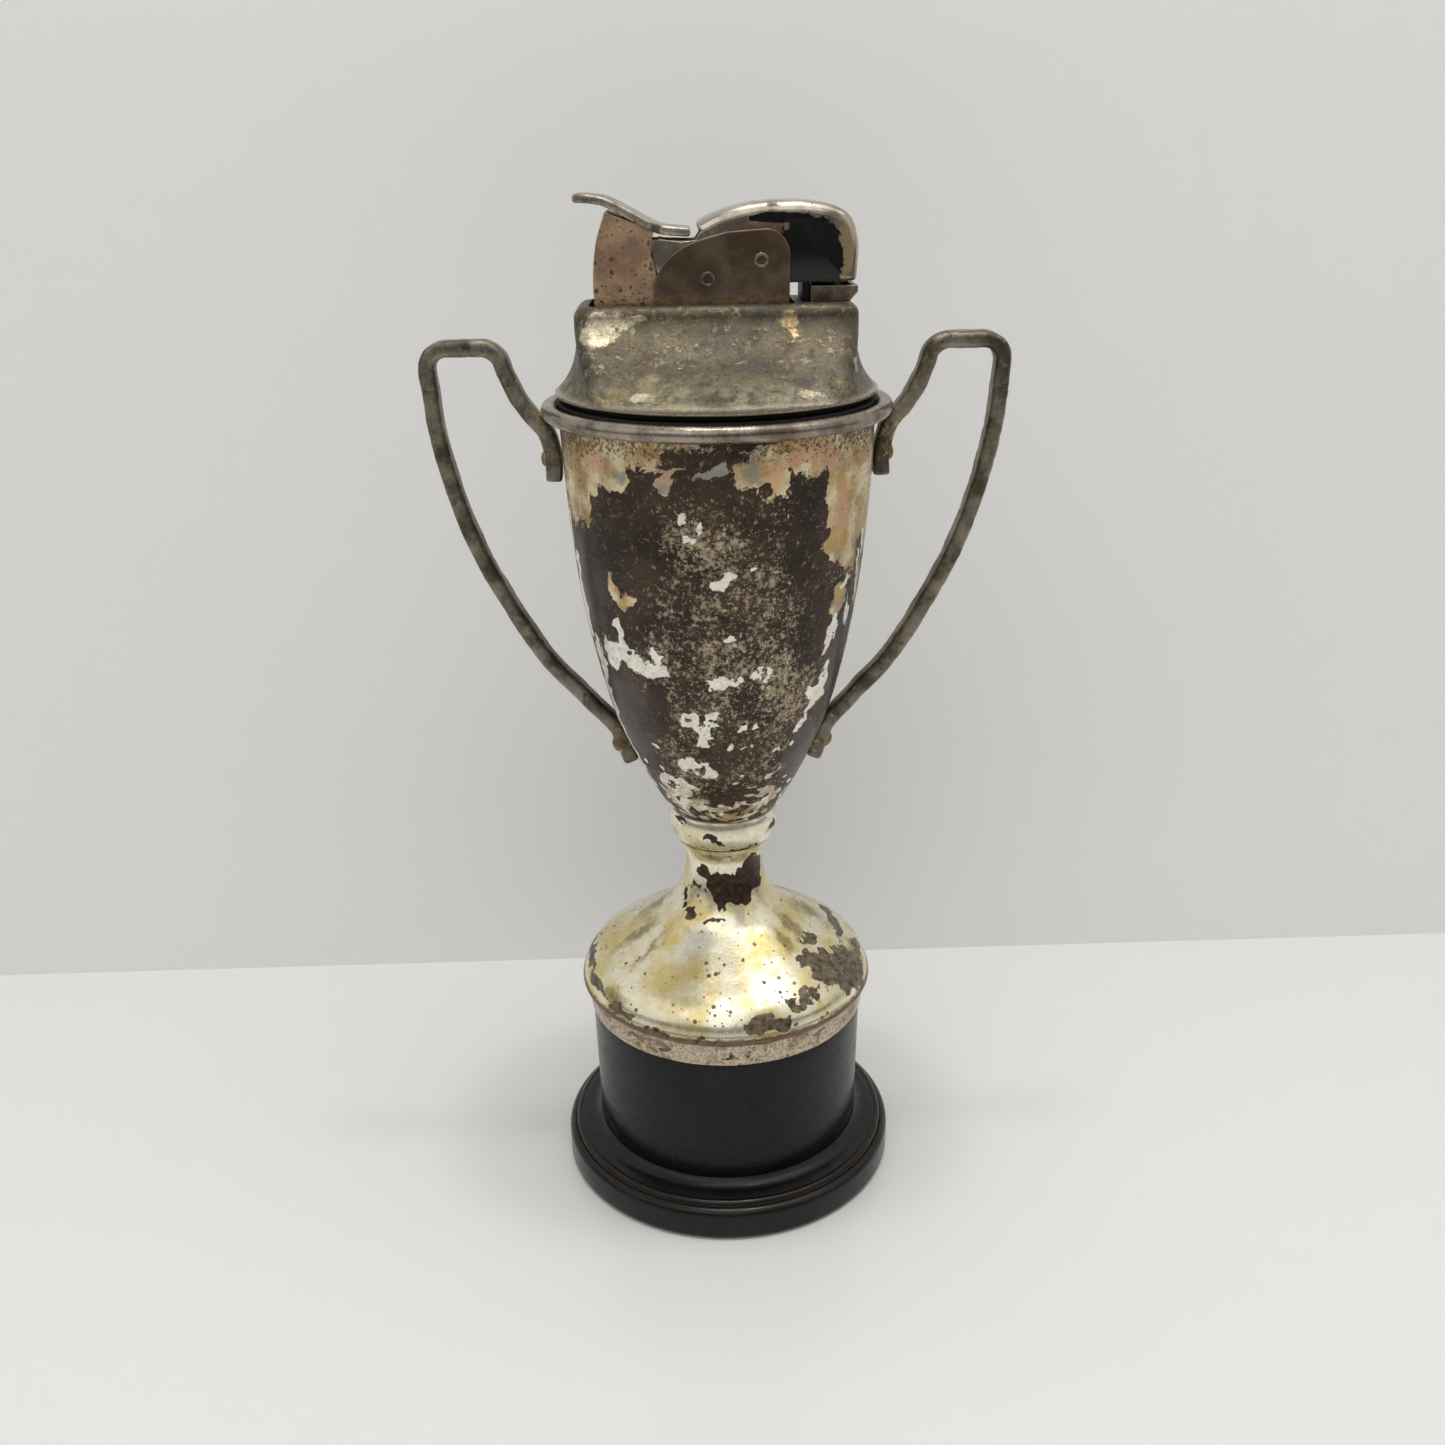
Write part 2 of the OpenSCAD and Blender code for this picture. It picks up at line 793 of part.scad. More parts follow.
module lever_spring() {
    color("gainsboro")
        translate([lever_spring_x, 0, 0])
            coil(lever_spring_r, 0.25, box_z + gap, 148.7, 8);
}

module arm_spring() {
    wire_r = 0.2;
    coil_r = pin_r + pin_gap + wire_r + slack;
    color("gainsboro")
        translate([arm_pivot[0], 0, arm_pivot[1]])
            rotate([90, 0, 0])
                coil(coil_r, wire_r, -2.9, -1.5, 2);
}

// ---- Thumb lever ----

pad_top = curve([[-18.8, 153.25], [-16.3, 153.1], [-13.8, 152.45], [-9.2, 150.05], [-7.3, 149.2]], 3);
pad_under = [[-7.3, 148], [-8.3, 148.4], [-10.3, 149.45], [-14.6, 151.1], [-16.9, 151.75], [-18.8, 152.1]];

module thumb_pad() {
    tail = [[-7.4, 149.2], [-5.4, 148.9], [-3.25, 148.75], [-3.25, 147.6], [-7.4, 147.9]];
    color([0.45, 0.42, 0.33]) {
        sheet(concat(pad_top, pad_under), 0, 2 * pad_half_y);
        sheet(tail, 0, 2 * pad_tail_half_y);
    }
}

module thumb_skirt() {
    left_edge = curve([[-16.4, 138.6], [-16.5, 142.5], [-15.9, 147.2], [-14.6, 150.95]], 3);
    roof_under = [[-8.35, 147.75], [-10.3, 148.8], [-14.5, 150.4]];
    roof = concat([[-14.6, 150.95], [-10.3, 149.35], [-8.35, 148.35]], roof_under);
    right_edge = curve([[-8.25, 148.3], [-8.75, 144.6], [-8.3, 138.6]], 4);
    end_wall = concat(left_edge, backwards(beside(left_edge, -skirt_t)));
    color([0.66, 0.52, 0.45]) {
        sheet_pair(concat(left_edge, [[-10.3, 149.37]], right_edge), skirt_out_y, skirt_t);
        sheet(roof, 0, 2 * skirt_out_y - slack);
        sheet(end_wall, 0, 2 * skirt_out_y - slack);
    }
}

module lever_link() {
    boss = arc(lever_pivot, 2.1, 110, -110, 12);
    outline = concat(
        [[-13.4, 149.3], [-8.6, 147.3], [-3, 147.1], [2, 146.9]],
        boss,
        [[2.5, 145.2], [-3.5, 145], [-7.5, 145], [-10.8, 146.4], [-13.4, 148.6]]
    );
    web = [[-13.2, 149.75], [-9.4, 148.2], [-9.4, 147.7], [-13.2, 149.2]];
    color("silver")
        difference() {
            union() {
                sheet_pair(outline, link_out_y, link_t);
                sheet(web, 0, 2 * link_out_y);
            }
            cross_rod(lever_pivot, pin_r + pin_gap, 6);
            post(lever_spring_x, lever_spring_r + 0.4, 146, 149.6);
        }
}

// ---- Snuffer arm ----

arm_top = curve([
    [-2.6, 149.3], [0.6, 150.75], [5.2, 151.8], [10.6, 152.04], [15.4, 151.45], [18.1, 150],
    [19.15, 147.4], [19.3, 145], [19.05, 141.6]
]);

// Its two lift tabs, low on the tail, are what the lever link pushes down
module snuffer_arm() {
    lift_tab = [-8.1, 143.9];
    lift_tab_w = 0.8;
    tail = [[-7.3, 142.3], [-8.2, 143.4], [-8.5, 144.6], [-8.4, 145.7], [-8.05, 147], [-7.6, 147.4],
        [-4.6, 147], [-2.6, 147.2]];
    boss = arc(arm_pivot, 2.2, 40, -150, 12);
    walls = concat(arm_top, [[9.6, 141.6], [9.6, 146.4], [3, 146.4]], boss, tail);
    head = concat([[10.4, 152.04]], [for (q = arm_top) if (q[0] > 10.5) q], [[10.4, 141.6]]);
    hollow = concat(
        [[-4, 147.8]],
        [for (q = beside(arm_top, -0.7)) if (q[1] > 141.7) q],
        [[18.4, 140], [-4, 140]]
    );
    color([0.78, 0.77, 0.76])
        difference() {
            union() {
                sheet(walls, 0, 2 * arm_out_y);
                sheet(head, 0, 2 * head_out_y);
            }
            sheet(hollow, 0, 2 * (arm_out_y - arm_t));
            slab(-10, -2.61, arm_out_y - arm_t, 140, 150);
            cross_rod(arm_pivot, pin_r + pin_gap, 6);
        }
    color([0.78, 0.77, 0.76])
        for (side = [-1, 1])
            translate([lift_tab[0], side * (link_out_y - 0.25) - lift_tab_w / 2, lift_tab[1]])
                cube([1, lift_tab_w, lift_tab_w]);
}

module snuffer_cap() {
    rim_z = 141.65;
    roof_z = 145.2;
    stem_r = 1.2;
    stem_top_z = 150.4;
    color([0.35, 0.32, 0.28])
        difference() {
            union() {
                post(wick_x, 2.9, rim_z, roof_z);
                post(wick_x, stem_r, roof_z, stem_top_z);
            }
            post(wick_x, 2.35, rim_z - cut, roof_z - 0.6);
        }
}

module pawl_leaf() {
    leaf = [[13.4, 149.9], [13.4, 150.15], [10.4, 150.15], [9, 147.6], [8.75, 145.2], [8.95, 145.2],
        [9.25, 147.4], [10.6, 149.9]];
    color("gainsboro")
        sheet(leaf, pawl_y, 0.8);
}

module pawl_rivet() {
    color([0.50, 0.46, 0.40])
        translate([12.2, pawl_y, 149.35])
            cylinder(r = 0.5, h = 0.5);
}

// ---- Spark wheel ----

// A disc with notches cut round its edge, standing on the lever's pin
module toothed_disc(r, teeth, depth, y, t) {
    step = 360 / teeth;
    rim = [for (i = [0 : teeth - 1])
        each [lever_pivot + r * [cos(i * step), sin(i * step)],
            lever_pivot + r * [cos((i + 0.45) * step), sin((i + 0.45) * step)],
            lever_pivot + (r - depth) * [cos((i + 0.55) * step), sin((i + 0.55) * step)],
            lever_pivot + (r - depth) * [cos((i + 0.95) * step), sin((i + 0.95) * step)]]];
    difference() {
        sheet(rim, y, t);
        cross_rod(lever_pivot, pin_r + pin_gap, 6);
    }
}

module flint_wheel() {
    color([0.30, 0.29, 0.28])
        toothed_disc(wheel_r, wheel_teeth, 0.22, 0, 3);
}

module ratchet_wheel() {
    color([0.55, 0.50, 0.40])
        toothed_disc(2.6, ratchet_teeth, 0.5, ratchet_y, 1.1);
}

felt_pad();
base_plate();
base_drum();
foot_stem();
neck_ring();
bowl();
left_handle();
right_handle();
handle_rivets();
tie_bolt();
lower_washer();
upper_washer();
tie_nut();
collar();
grip_sleeve();
fuel_tank();
tank_cap();
frame_floor();
front_side_plate();
rear_side_plate();
lever_pin();
arm_pin();
wick_tube();
wick();
wick_cup();
wick_shield();
cotton_packing();
flint_tube();
flint();
flint_follower();
flint_spring();
flint_screw();
filler_screw();
filler_gasket();
lever_spring();
arm_spring();
thumb_pad();
thumb_skirt();
lever_link();
snuffer_arm();
snuffer_cap();
pawl_leaf();
pawl_rivet();
flint_wheel();
ratchet_wheel();
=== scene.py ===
"""Looks of a worn, silver-plated trophy cup with a table lighter in its mouth.

Lengths in this script are in millimetres until a mesh, a light or the camera is made.
Patches of wear are placed by angle and height: angle 0 faces the viewer (-Y) and 90 faces +X.
"""

import math
import random

import bpy
import numpy as np
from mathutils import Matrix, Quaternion, Vector


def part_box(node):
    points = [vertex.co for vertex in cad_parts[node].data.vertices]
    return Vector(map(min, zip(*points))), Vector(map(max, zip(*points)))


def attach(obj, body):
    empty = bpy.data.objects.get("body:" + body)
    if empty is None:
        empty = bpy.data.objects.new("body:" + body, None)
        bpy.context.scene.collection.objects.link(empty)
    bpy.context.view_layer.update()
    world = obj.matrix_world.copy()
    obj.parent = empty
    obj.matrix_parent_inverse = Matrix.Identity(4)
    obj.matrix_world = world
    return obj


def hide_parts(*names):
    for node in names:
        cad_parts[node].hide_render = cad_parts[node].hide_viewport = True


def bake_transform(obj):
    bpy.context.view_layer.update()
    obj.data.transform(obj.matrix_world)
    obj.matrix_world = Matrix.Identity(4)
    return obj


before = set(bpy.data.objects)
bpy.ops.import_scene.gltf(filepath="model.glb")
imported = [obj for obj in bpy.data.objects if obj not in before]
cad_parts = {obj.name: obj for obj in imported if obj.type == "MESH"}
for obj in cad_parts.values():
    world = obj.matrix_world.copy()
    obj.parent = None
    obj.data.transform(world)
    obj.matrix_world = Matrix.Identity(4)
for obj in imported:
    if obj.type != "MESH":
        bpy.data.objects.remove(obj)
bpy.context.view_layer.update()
MM = 0.001
rng = random.Random(41)

# ---- Curves, in pairs of (radius, height) or (x, height) ----


def curve(points, steps):
    """A smooth curve through all the points."""
    p = np.array(points, float)
    out = []
    for i in range(len(p) - 1):
        a, b, c, d = p[max(i - 1, 0)], p[i], p[i + 1], p[min(i + 2, len(p) - 1)]
        for k in range(steps):
            t = k / steps
            bend = (2 * a - 5 * b + 4 * c - d) * t * t + (3 * b - a - 3 * c + d) * t**3
            out.append(0.5 * (2 * b + (c - a) * t + bend))
    out.append(p[-1])
    return np.array(out)


def arc(centre, r, start, end, steps):
    """Points on a circle, from one angle to another in degrees."""
    a = np.radians(np.linspace(start, end, steps + 1))
    return np.stack([centre[0] + r * np.cos(a), centre[1] + r * np.sin(a)], 1)


def along(points):
    """Distance along a line of points, from its first point."""
    return np.r_[0, np.cumsum(np.linalg.norm(np.diff(points, axis=0), axis=1))]


def normals_left(points):
    """Unit vectors to the left of a line's heading, at each point."""
    t = np.gradient(np.asarray(points, float), axis=0)
    t /= np.linalg.norm(t, axis=1)[:, None]
    return np.stack([-t[:, 1], t[:, 0]], 1)


def resample(points, step):
    """Points no further apart than step, keeping every given point."""
    out = []
    for a, b in zip(points[:-1], points[1:]):
        n = max(1, math.ceil(np.linalg.norm(np.subtract(b, a)) / step))
        out += [np.add(a, np.subtract(b, a) * k / n) for k in range(n)]
    out.append(np.array(points[-1], float))
    return np.array(out)


def ease(x):
    """0 up to x = 0, 1 from x = 1, and smooth between."""
    x = np.clip(x, 0, 1)
    return x * x * (3 - 2 * x)


def mix(a, b, t):
    return a + (b - a) * t


# ---- Meshes ----


def face_outwards(mesh):
    """Flips a closed mesh whose faces look inwards, told by the sign of its volume."""
    mesh.calc_loop_triangles()
    co = np.zeros(len(mesh.vertices) * 3)
    mesh.vertices.foreach_get("co", co)
    tris = np.zeros(len(mesh.loop_triangles) * 3, dtype=np.int32)
    mesh.loop_triangles.foreach_get("vertices", tris)
    a, b, c = co.reshape(-1, 3)[tris.reshape(-1, 3)].transpose(1, 0, 2)
    if np.sum(a * np.cross(b, c)) < 0:
        mesh.flip_normals()


def mesh_object(name, points, faces, crease=32, closed=True):
    """A mesh from points in mm, smooth except where faces meet at more than the crease angle."""
    mesh = bpy.data.meshes.new(name)
    mesh.from_pydata((np.asarray(points) * MM).tolist(), [], [tuple(map(int, f)) for f in faces])
    mesh.validate()
    if closed:
        face_outwards(mesh)
    mesh.shade_smooth()
    mesh.set_sharp_from_angle(angle=math.radians(crease))
    piece = bpy.data.objects.new(name, mesh)
    bpy.context.scene.collection.objects.link(piece)
    return piece


def grid_object(name, p, crease, loop=True):
    """Rings of points as one closed mesh: either the last ring meets the first, or both are capped."""
    rows, cols = p.shape[:2]
    i = np.arange(rows if loop else rows - 1)
    i, j = [a.ravel() for a in np.meshgrid(i, np.arange(cols), indexing="ij")]
    i2, j2 = (i + 1) % rows, (j + 1) % cols
    faces = np.stack([i * cols + j, i * cols + j2, i2 * cols + j2, i2 * cols + j], 1).tolist()
    if not loop:
        faces += [list(range(cols))[::-1], [(rows - 1) * cols + k for k in range(cols)]]
    return mesh_object(name, p.reshape(-1, 3), faces, crease)


def lathe_points(outline, turns):
    """Rings of points from turning an outline about the Z axis."""
    a = np.linspace(0, 2 * np.pi, turns, endpoint=False)
    r, z = np.asarray(outline).T
    return np.stack([np.outer(r, np.sin(a)), -np.outer(r, np.cos(a)), np.outer(z, np.ones(turns))], 2)


def turned(name, outline, turns, crease, shape=None):
    """A closed outline of (radius, height), going up on the outside, turned about the Z axis."""
    p = lathe_points(outline, turns)
    return grid_object(name, shape(p) if shape else p, crease)


def swept(name, path, sections, shape=None):
    """Closed sections, each of (y, offset to the path's left), carried along a path of (x, z)."""
    path = np.asarray(path, float)
    n = normals_left(path)
    s = np.asarray(sections, float)
    p = np.stack([path[:, None, 0] + s[:, :, 1] * n[:, None, 0], s[:, :, 0],
                  path[:, None, 1] + s[:, :, 1] * n[:, None, 1]], 2)
    return grid_object(name, shape(p) if shape else p, 40, loop=False)


def tube(name, line, radii):
    """A round tube along a 3-D line, with one radius for each point."""
    sides = 10
    ahead = np.gradient(line, axis=0)
    ahead /= np.linalg.norm(ahead, axis=1, keepdims=True)
    aside = np.cross(ahead, (0.31, 0.17, 1.0) if abs(ahead[:, 2]).max() < 0.8 else (1.0, 0.23, 0.11))
    aside /= np.linalg.norm(aside, axis=1, keepdims=True)
    above = np.cross(ahead, aside)
    a = np.linspace(0, 2 * np.pi, sides, endpoint=False)[None, :, None]
    p = line[:, None] + radii[:, None, None] * (np.cos(a) * aside[:, None] + np.sin(a) * above[:, None])
    return grid_object(name, p, 50, loop=False)


def rounded_section(half_w, low, high, r, steps):
    """A rounded rectangle in (y, offset), from y = -half_w to half_w and from low to high."""
    r = min(r, (high - low) / 2 - 0.01, half_w - 0.01)
    corners = [((half_w - r, high - r), 0), ((r - half_w, high - r), 90),
               ((r - half_w, low + r), 180), ((half_w - r, low + r), 270)]
    return np.concatenate([arc(c, r, a, a + 90, steps) for c, a in corners])


def plate(name, outline, y0, y1, edge):
    """A flat sheet with the (x, z) outline between y0 and y1, its edges rounded by a modifier."""
    q = np.asarray(outline, float)
    area = np.sum(q[:, 0] * np.roll(q[:, 1], -1) - q[:, 1] * np.roll(q[:, 0], -1))
    if area < 0:
        q = q[::-1]
    n = len(q)
    y0, y1 = min(y0, y1), max(y0, y1)
    points = [(x, y, z) for y in (y0, y1) for x, z in q]
    faces = [list(range(n)), [n + k for k in range(n)][::-1]]
    faces += [[k, n + k, n + (k + 1) % n, (k + 1) % n] for k in range(n)]
    piece = mesh_object(name, points, faces)
    soften(piece, edge, 3)
    return piece


def soften(piece, edge, segments, weld=False):
    """Rounds the sharp edges of a piece without touching its mesh."""
    if weld:
        m = piece.modifiers.new("Weld", "WELD")
        m.merge_threshold = 0.002 * MM
    m = piece.modifiers.new("Bevel", "BEVEL")
    m.width = edge * MM
    m.segments = segments
    m.limit_method = "ANGLE"
    m.angle_limit = math.radians(38)
    m.miter_outer = "MITER_ARC"


def joined(name, pieces):
    """One object from several, with their modifiers applied first."""
    graph = bpy.context.evaluated_depsgraph_get()
    points, faces = [], []
    for piece in pieces:
        mesh = bpy.data.meshes.new_from_object(piece.evaluated_get(graph))
        base = len(points)
        points += [tuple(v.co / MM) for v in mesh.vertices]
        faces += [[base + k for k in f.vertices] for f in mesh.polygons]
        bpy.data.objects.remove(piece)
    return mesh_object(name, points, faces, 40)


def stand_for(piece, node, body, material, slot, *more_materials):
    """The piece, in its materials, takes the place of a CAD node on its body."""
    wear(piece, material, *more_materials)
    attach(piece, body)
    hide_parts(node)


# ---- Painted wear, painted shade and painted highlights: values stored at the vertices, made crisp by the materials ----

PAINT_LIMIT = 4.0
OUT_OF_REACH = 50


def waves(p, length, seed):
    """Smooth lumps about one length across, near -1 to 1, at points p in mm."""
    count = 18
    r = np.random.default_rng(seed)
    k = r.normal(size=(count, 3))
    k /= np.linalg.norm(k, axis=1)[:, None]
    k *= 2 * np.pi / length * r.uniform(0.6, 1.5, (count, 1))
    phase = r.uniform(0, 2 * np.pi, count)
    return np.sin(np.asarray(p) @ k.T + phase).sum(-1) / math.sqrt(count)


class Skin:
    """The vertices of a piece, where patches are painted by angle or x, and height."""

    def __init__(self, piece):
        self.mesh = piece.data
        n = len(self.mesh.vertices)
        co, no = np.zeros(n * 3), np.zeros(n * 3)
        self.mesh.vertices.foreach_get("co", co)
        self.mesh.vertices.foreach_get("normal", no)
        self.p = co.reshape(-1, 3) / MM
        self.n = no.reshape(-1, 3)
        self.angle = np.degrees(np.arctan2(self.p[:, 0], -self.p[:, 1]))
        self.z = self.p[:, 2]
        self.r = np.hypot(self.p[:, 0], self.p[:, 1])
        away = self.n[:, 0] * self.p[:, 0] + self.n[:, 1] * self.p[:, 1]
        self.outer = (away > 0) | (self.n[:, 2] > 0.3)
        warp = np.stack([waves(self.p, 2.6, 50 + k) for k in range(3)], 1)
        fine = np.stack([waves(self.p, 0.9, 60 + k) for k in range(3)], 1)
        self.ragged = self.p + 0.42 * warp + 0.16 * fine

    def site(self, angle, z):
        """The outer vertex nearest to an angle and a height."""
        turn = (self.angle - angle + 180) % 360 - 180
        gap = np.hypot(np.radians(turn) * self.r, self.z - z)
        return int(np.argmin(gap + np.where(self.outer, 0, OUT_OF_REACH)))

    def site_xz(self, x, z, side):
        """The vertex nearest to an x and a height, on the front (side -1) or the back (side 1)."""
        faces_there = (self.n[:, 1] * side > 0.05) & (self.p[:, 1] * side > 0)
        gap = np.hypot(self.p[:, 0] - x, self.z - z)
        return int(np.argmin(gap + np.where(faces_there, 0, OUT_OF_REACH)))

    def patch(self, at, half_w, half_h, tilt=0):
        """1 at the vertex `at`, 0 on an ellipse tilted by that many degrees, and below 0 outside it."""
        c, n = self.p[at], self.n[at]
        e1 = np.cross((0, 0, 1), n)
        e1 /= max(np.linalg.norm(e1), 1e-6)
        e2 = np.cross(n, e1)
        t = math.radians(tilt)
        e1, e2 = e1 * math.cos(t) + e2 * math.sin(t), e2 * math.cos(t) - e1 * math.sin(t)
        d = self.ragged - c
        return 1 - np.sqrt((d @ e1 / half_w) ** 2 + (d @ e2 / half_h) ** 2 + (d @ n / (half_w + half_h)) ** 2)

    def patches(self, places, holes=()):
        """The union of patches (angle, z, half_w, half_h and, if it has one, tilt), less some holes."""
        field = np.full(len(self.p), -PAINT_LIMIT)
        for angle, z, *size in places:
            field = np.maximum(field, self.patch(self.site(angle, z), *size))
        for angle, z, *size in holes:
            field = np.minimum(field, -self.patch(self.site(angle, z), *size))
        return field

    def paint(self, name, values):
        layer = self.mesh.attributes.new(name, "FLOAT", "POINT")
        layer.data.foreach_set("value", np.clip(values, -PAINT_LIMIT, PAINT_LIMIT).astype(np.float32))


# ---- Materials ----


def srgb(code):
    values = [int(code[k:k + 2], 16) / 255 for k in (0, 2, 4)]
    return [v / 12.92 if v < 0.04045 else ((v + 0.055) / 1.055) ** 2.4 for v in values] + [1]


class Nodes:
    """The node tree of a material or a world, emptied, with short calls that add to it."""

    def __init__(self, owner):
        owner.use_nodes = True
        self.tree = owner.node_tree
        self.tree.nodes.clear()

    def node(self, kind, **settings):
        n = self.tree.nodes.new(kind)
        for key, value in settings.items():
            setattr(n, key, value)
        return n

    def put(self, socket, value):
        if isinstance(value, bpy.types.NodeSocket):
            self.tree.links.new(value, socket)
        else:
            socket.default_value = value

    def math(self, kind, a, b=0.0):
        n = self.node("ShaderNodeMath", operation=kind)
        self.put(n.inputs[0], a)
        self.put(n.inputs[1], b)
        return n.outputs[0]

    def plus(self, a, b):
        return self.math("ADD", a, b)

    def times(self, a, b):
        return self.math("MULTIPLY", a, b)

    def stray(self, noise, reach):
        """A noise of 0 to 1, centred on 0 and scaled."""
        return self.times(self.math("SUBTRACT", noise, 0.5), reach)

    def step(self, value, low, high, out_low=0.0, out_high=1.0):
        """Eases from out_low to out_high as value goes from low to high."""
        n = self.node("ShaderNodeMapRange", interpolation_type="SMOOTHSTEP")
        for k, v in enumerate((value, low, high, out_low, out_high)):
            self.put(n.inputs[k], v)
        return n.outputs[0]


class Finish(Nodes):
    """A node material, built up from layers of colour, metalness, roughness and height."""

    def __init__(self, name):
        self.mat = bpy.data.materials.new(name)
        super().__init__(self.mat)
        grow = self.node("ShaderNodeVectorMath", operation="SCALE")
        self.put(grow.inputs[0], self.node("ShaderNodeTexCoord").outputs["Object"])
        self.put(grow.inputs["Scale"], 1 / MM)
        self.mm = grow.outputs[0]

    def axis(self, k):
        n = self.node("ShaderNodeSeparateXYZ")
        self.put(n.inputs[0], self.mm)
        return n.outputs[k]

    def noise(self, size, detail, rough, seed, stretch=(1, 1, 1), warp=0.0):
        """Cloudy noise from 0 to 1, with lumps about size mm across."""
        shift = self.node("ShaderNodeVectorMath", operation="MULTIPLY_ADD")
        self.put(shift.inputs[0], self.mm)
        self.put(shift.inputs[1], tuple(1 / s for s in stretch))
        self.put(shift.inputs[2], (seed * 17.3, seed * 7.7, seed * 29.1))
        n = self.node("ShaderNodeTexNoise")
        values = {"Vector": shift.outputs[0], "Scale": 1 / size, "Detail": detail, "Roughness": rough,
                  "Distortion": warp}
        for key, value in values.items():
            self.put(n.inputs[key], value)
        return n.outputs["Fac"]

    def cells(self, size, seed, edge=False):
        """Distance to the middles, or to the edges, of cells about size mm across."""
        shift = self.node("ShaderNodeVectorMath", operation="ADD")
        self.put(shift.inputs[0], self.mm)
        self.put(shift.inputs[1], (seed * 11.1, seed * 5.3, seed * 3.7))
        n = self.node("ShaderNodeTexVoronoi", feature="DISTANCE_TO_EDGE" if edge else "F1")
        self.put(n.inputs["Vector"], shift.outputs[0])
        self.put(n.inputs["Scale"], 1 / size)
        return n.outputs["Distance"]

    def blend(self, amount, a, b):
        n = self.node("ShaderNodeMix", data_type="RGBA")
        self.put(n.inputs[0], amount)
        self.put(n.inputs[6], srgb(a) if isinstance(a, str) else a)
        self.put(n.inputs[7], srgb(b) if isinstance(b, str) else b)
        return n.outputs[2]

    def vary(self, noise, a, b, low=0.34, high=0.66):
        """Colours a noise from a to b, with more contrast than the noise has."""
        return self.blend(self.step(noise, low, high), a, b)

    def fade(self, amount, a, b):
        n = self.node("ShaderNodeMix", data_type="FLOAT")
        self.put(n.inputs[0], amount)
        self.put(n.inputs[2], a)
        self.put(n.inputs[3], b)
        return n.outputs[0]

    def painted(self, name):
        return self.node("ShaderNodeAttribute", attribute_name=name).outputs["Fac"]

    def place(self, centre, half):
        """1 at a point in mm, falling to 0 on an ellipsoid of those half-sizes."""
        n = self.node("ShaderNodeVectorMath", operation="SUBTRACT")
        self.put(n.inputs[0], self.mm)
        self.put(n.inputs[1], centre)
        m = self.node("ShaderNodeVectorMath", operation="DIVIDE")
        self.put(m.inputs[0], n.outputs[0])
        self.put(m.inputs[1], half)
        length = self.node("ShaderNodeVectorMath", operation="LENGTH")
        self.put(length.inputs[0], m.outputs[0])
        return self.math("SUBTRACT", 1.0, length.outputs["Value"])

    def edges(self, radius):
        """1 on outer edges and 0 on flats, from a rounded normal."""
        soft = self.node("ShaderNodeBevel", samples=6)
        self.put(soft.inputs["Radius"], radius * MM)
        geo = self.node("ShaderNodeNewGeometry")
        dot = self.node("ShaderNodeVectorMath", operation="DOT_PRODUCT")
        self.put(dot.inputs[0], soft.outputs[0])
        self.put(dot.inputs[1], geo.outputs["Normal"])
        return self.step(dot.outputs["Value"], 0.99, 0.9)

    def base(self, color, metal, rough, height):
        self.color, self.metal, self.rough, self.height = color, metal, rough, height

    def grained(self, color, metal, grain, smooth, dull, relief=None):
        """A base whose roughness follows a grain from smooth to dull; the grain is its height too."""
        rough = self.step(grain, 0.3, 0.7, smooth, dull)
        self.base(color, metal, rough, self.times(grain, relief) if relief else grain)

    def layer(self, amount, color, metal, rough, height=None):
        """Lays a finish over what is there."""
        self.color = self.blend(amount, self.color, color)
        self.metal = self.fade(amount, self.metal, metal)
        self.rough = self.fade(amount, self.rough, rough)
        if height is not None:
            self.height = self.fade(amount, self.height, height)

    def flecks(self, noise, low, high, amount, color, metal, rough, height=None):
        """A layer that shows where a noise is high: from low on, and by amount from high on."""
        self.layer(self.step(self.noise(*noise), low, high, 0.0, amount), color, metal, rough, height)

    def rubbed(self, radius, amount, color, metal, rough):
        """A layer on the outer edges only."""
        self.layer(self.times(self.edges(radius), amount), color, metal, rough)

    def done(self, bump, strength=1.0, sheen=0.0, gloss=0.5):
        """Height 0 to 1 is worth bump mm."""
        relief = self.node("ShaderNodeBump")
        self.put(relief.inputs["Strength"], strength)
        self.put(relief.inputs["Distance"], bump * MM)
        self.put(relief.inputs["Height"], self.height)
        shader = self.node("ShaderNodeBsdfPrincipled")
        values = {"Base Color": self.color, "Metallic": self.metal, "Roughness": self.rough,
                  "Specular IOR Level": gloss, "Coat Roughness": 0.12, "Sheen Weight": sheen,
                  "Normal": relief.outputs[0]}
        for key, value in values.items():
            self.put(shader.inputs[key], value)
        out = self.node("ShaderNodeOutputMaterial")
        self.put(out.inputs["Surface"], shader.outputs[0])
        return self.mat


finishes = {}


def shared(maker):
    """The maker's finish, made only once."""
    if maker not in finishes:
        finishes[maker] = maker()
    return finishes[maker]


def wear(piece, *materials):
    piece.data.materials.clear()
    for material in materials:
        piece.data.materials.append(material)


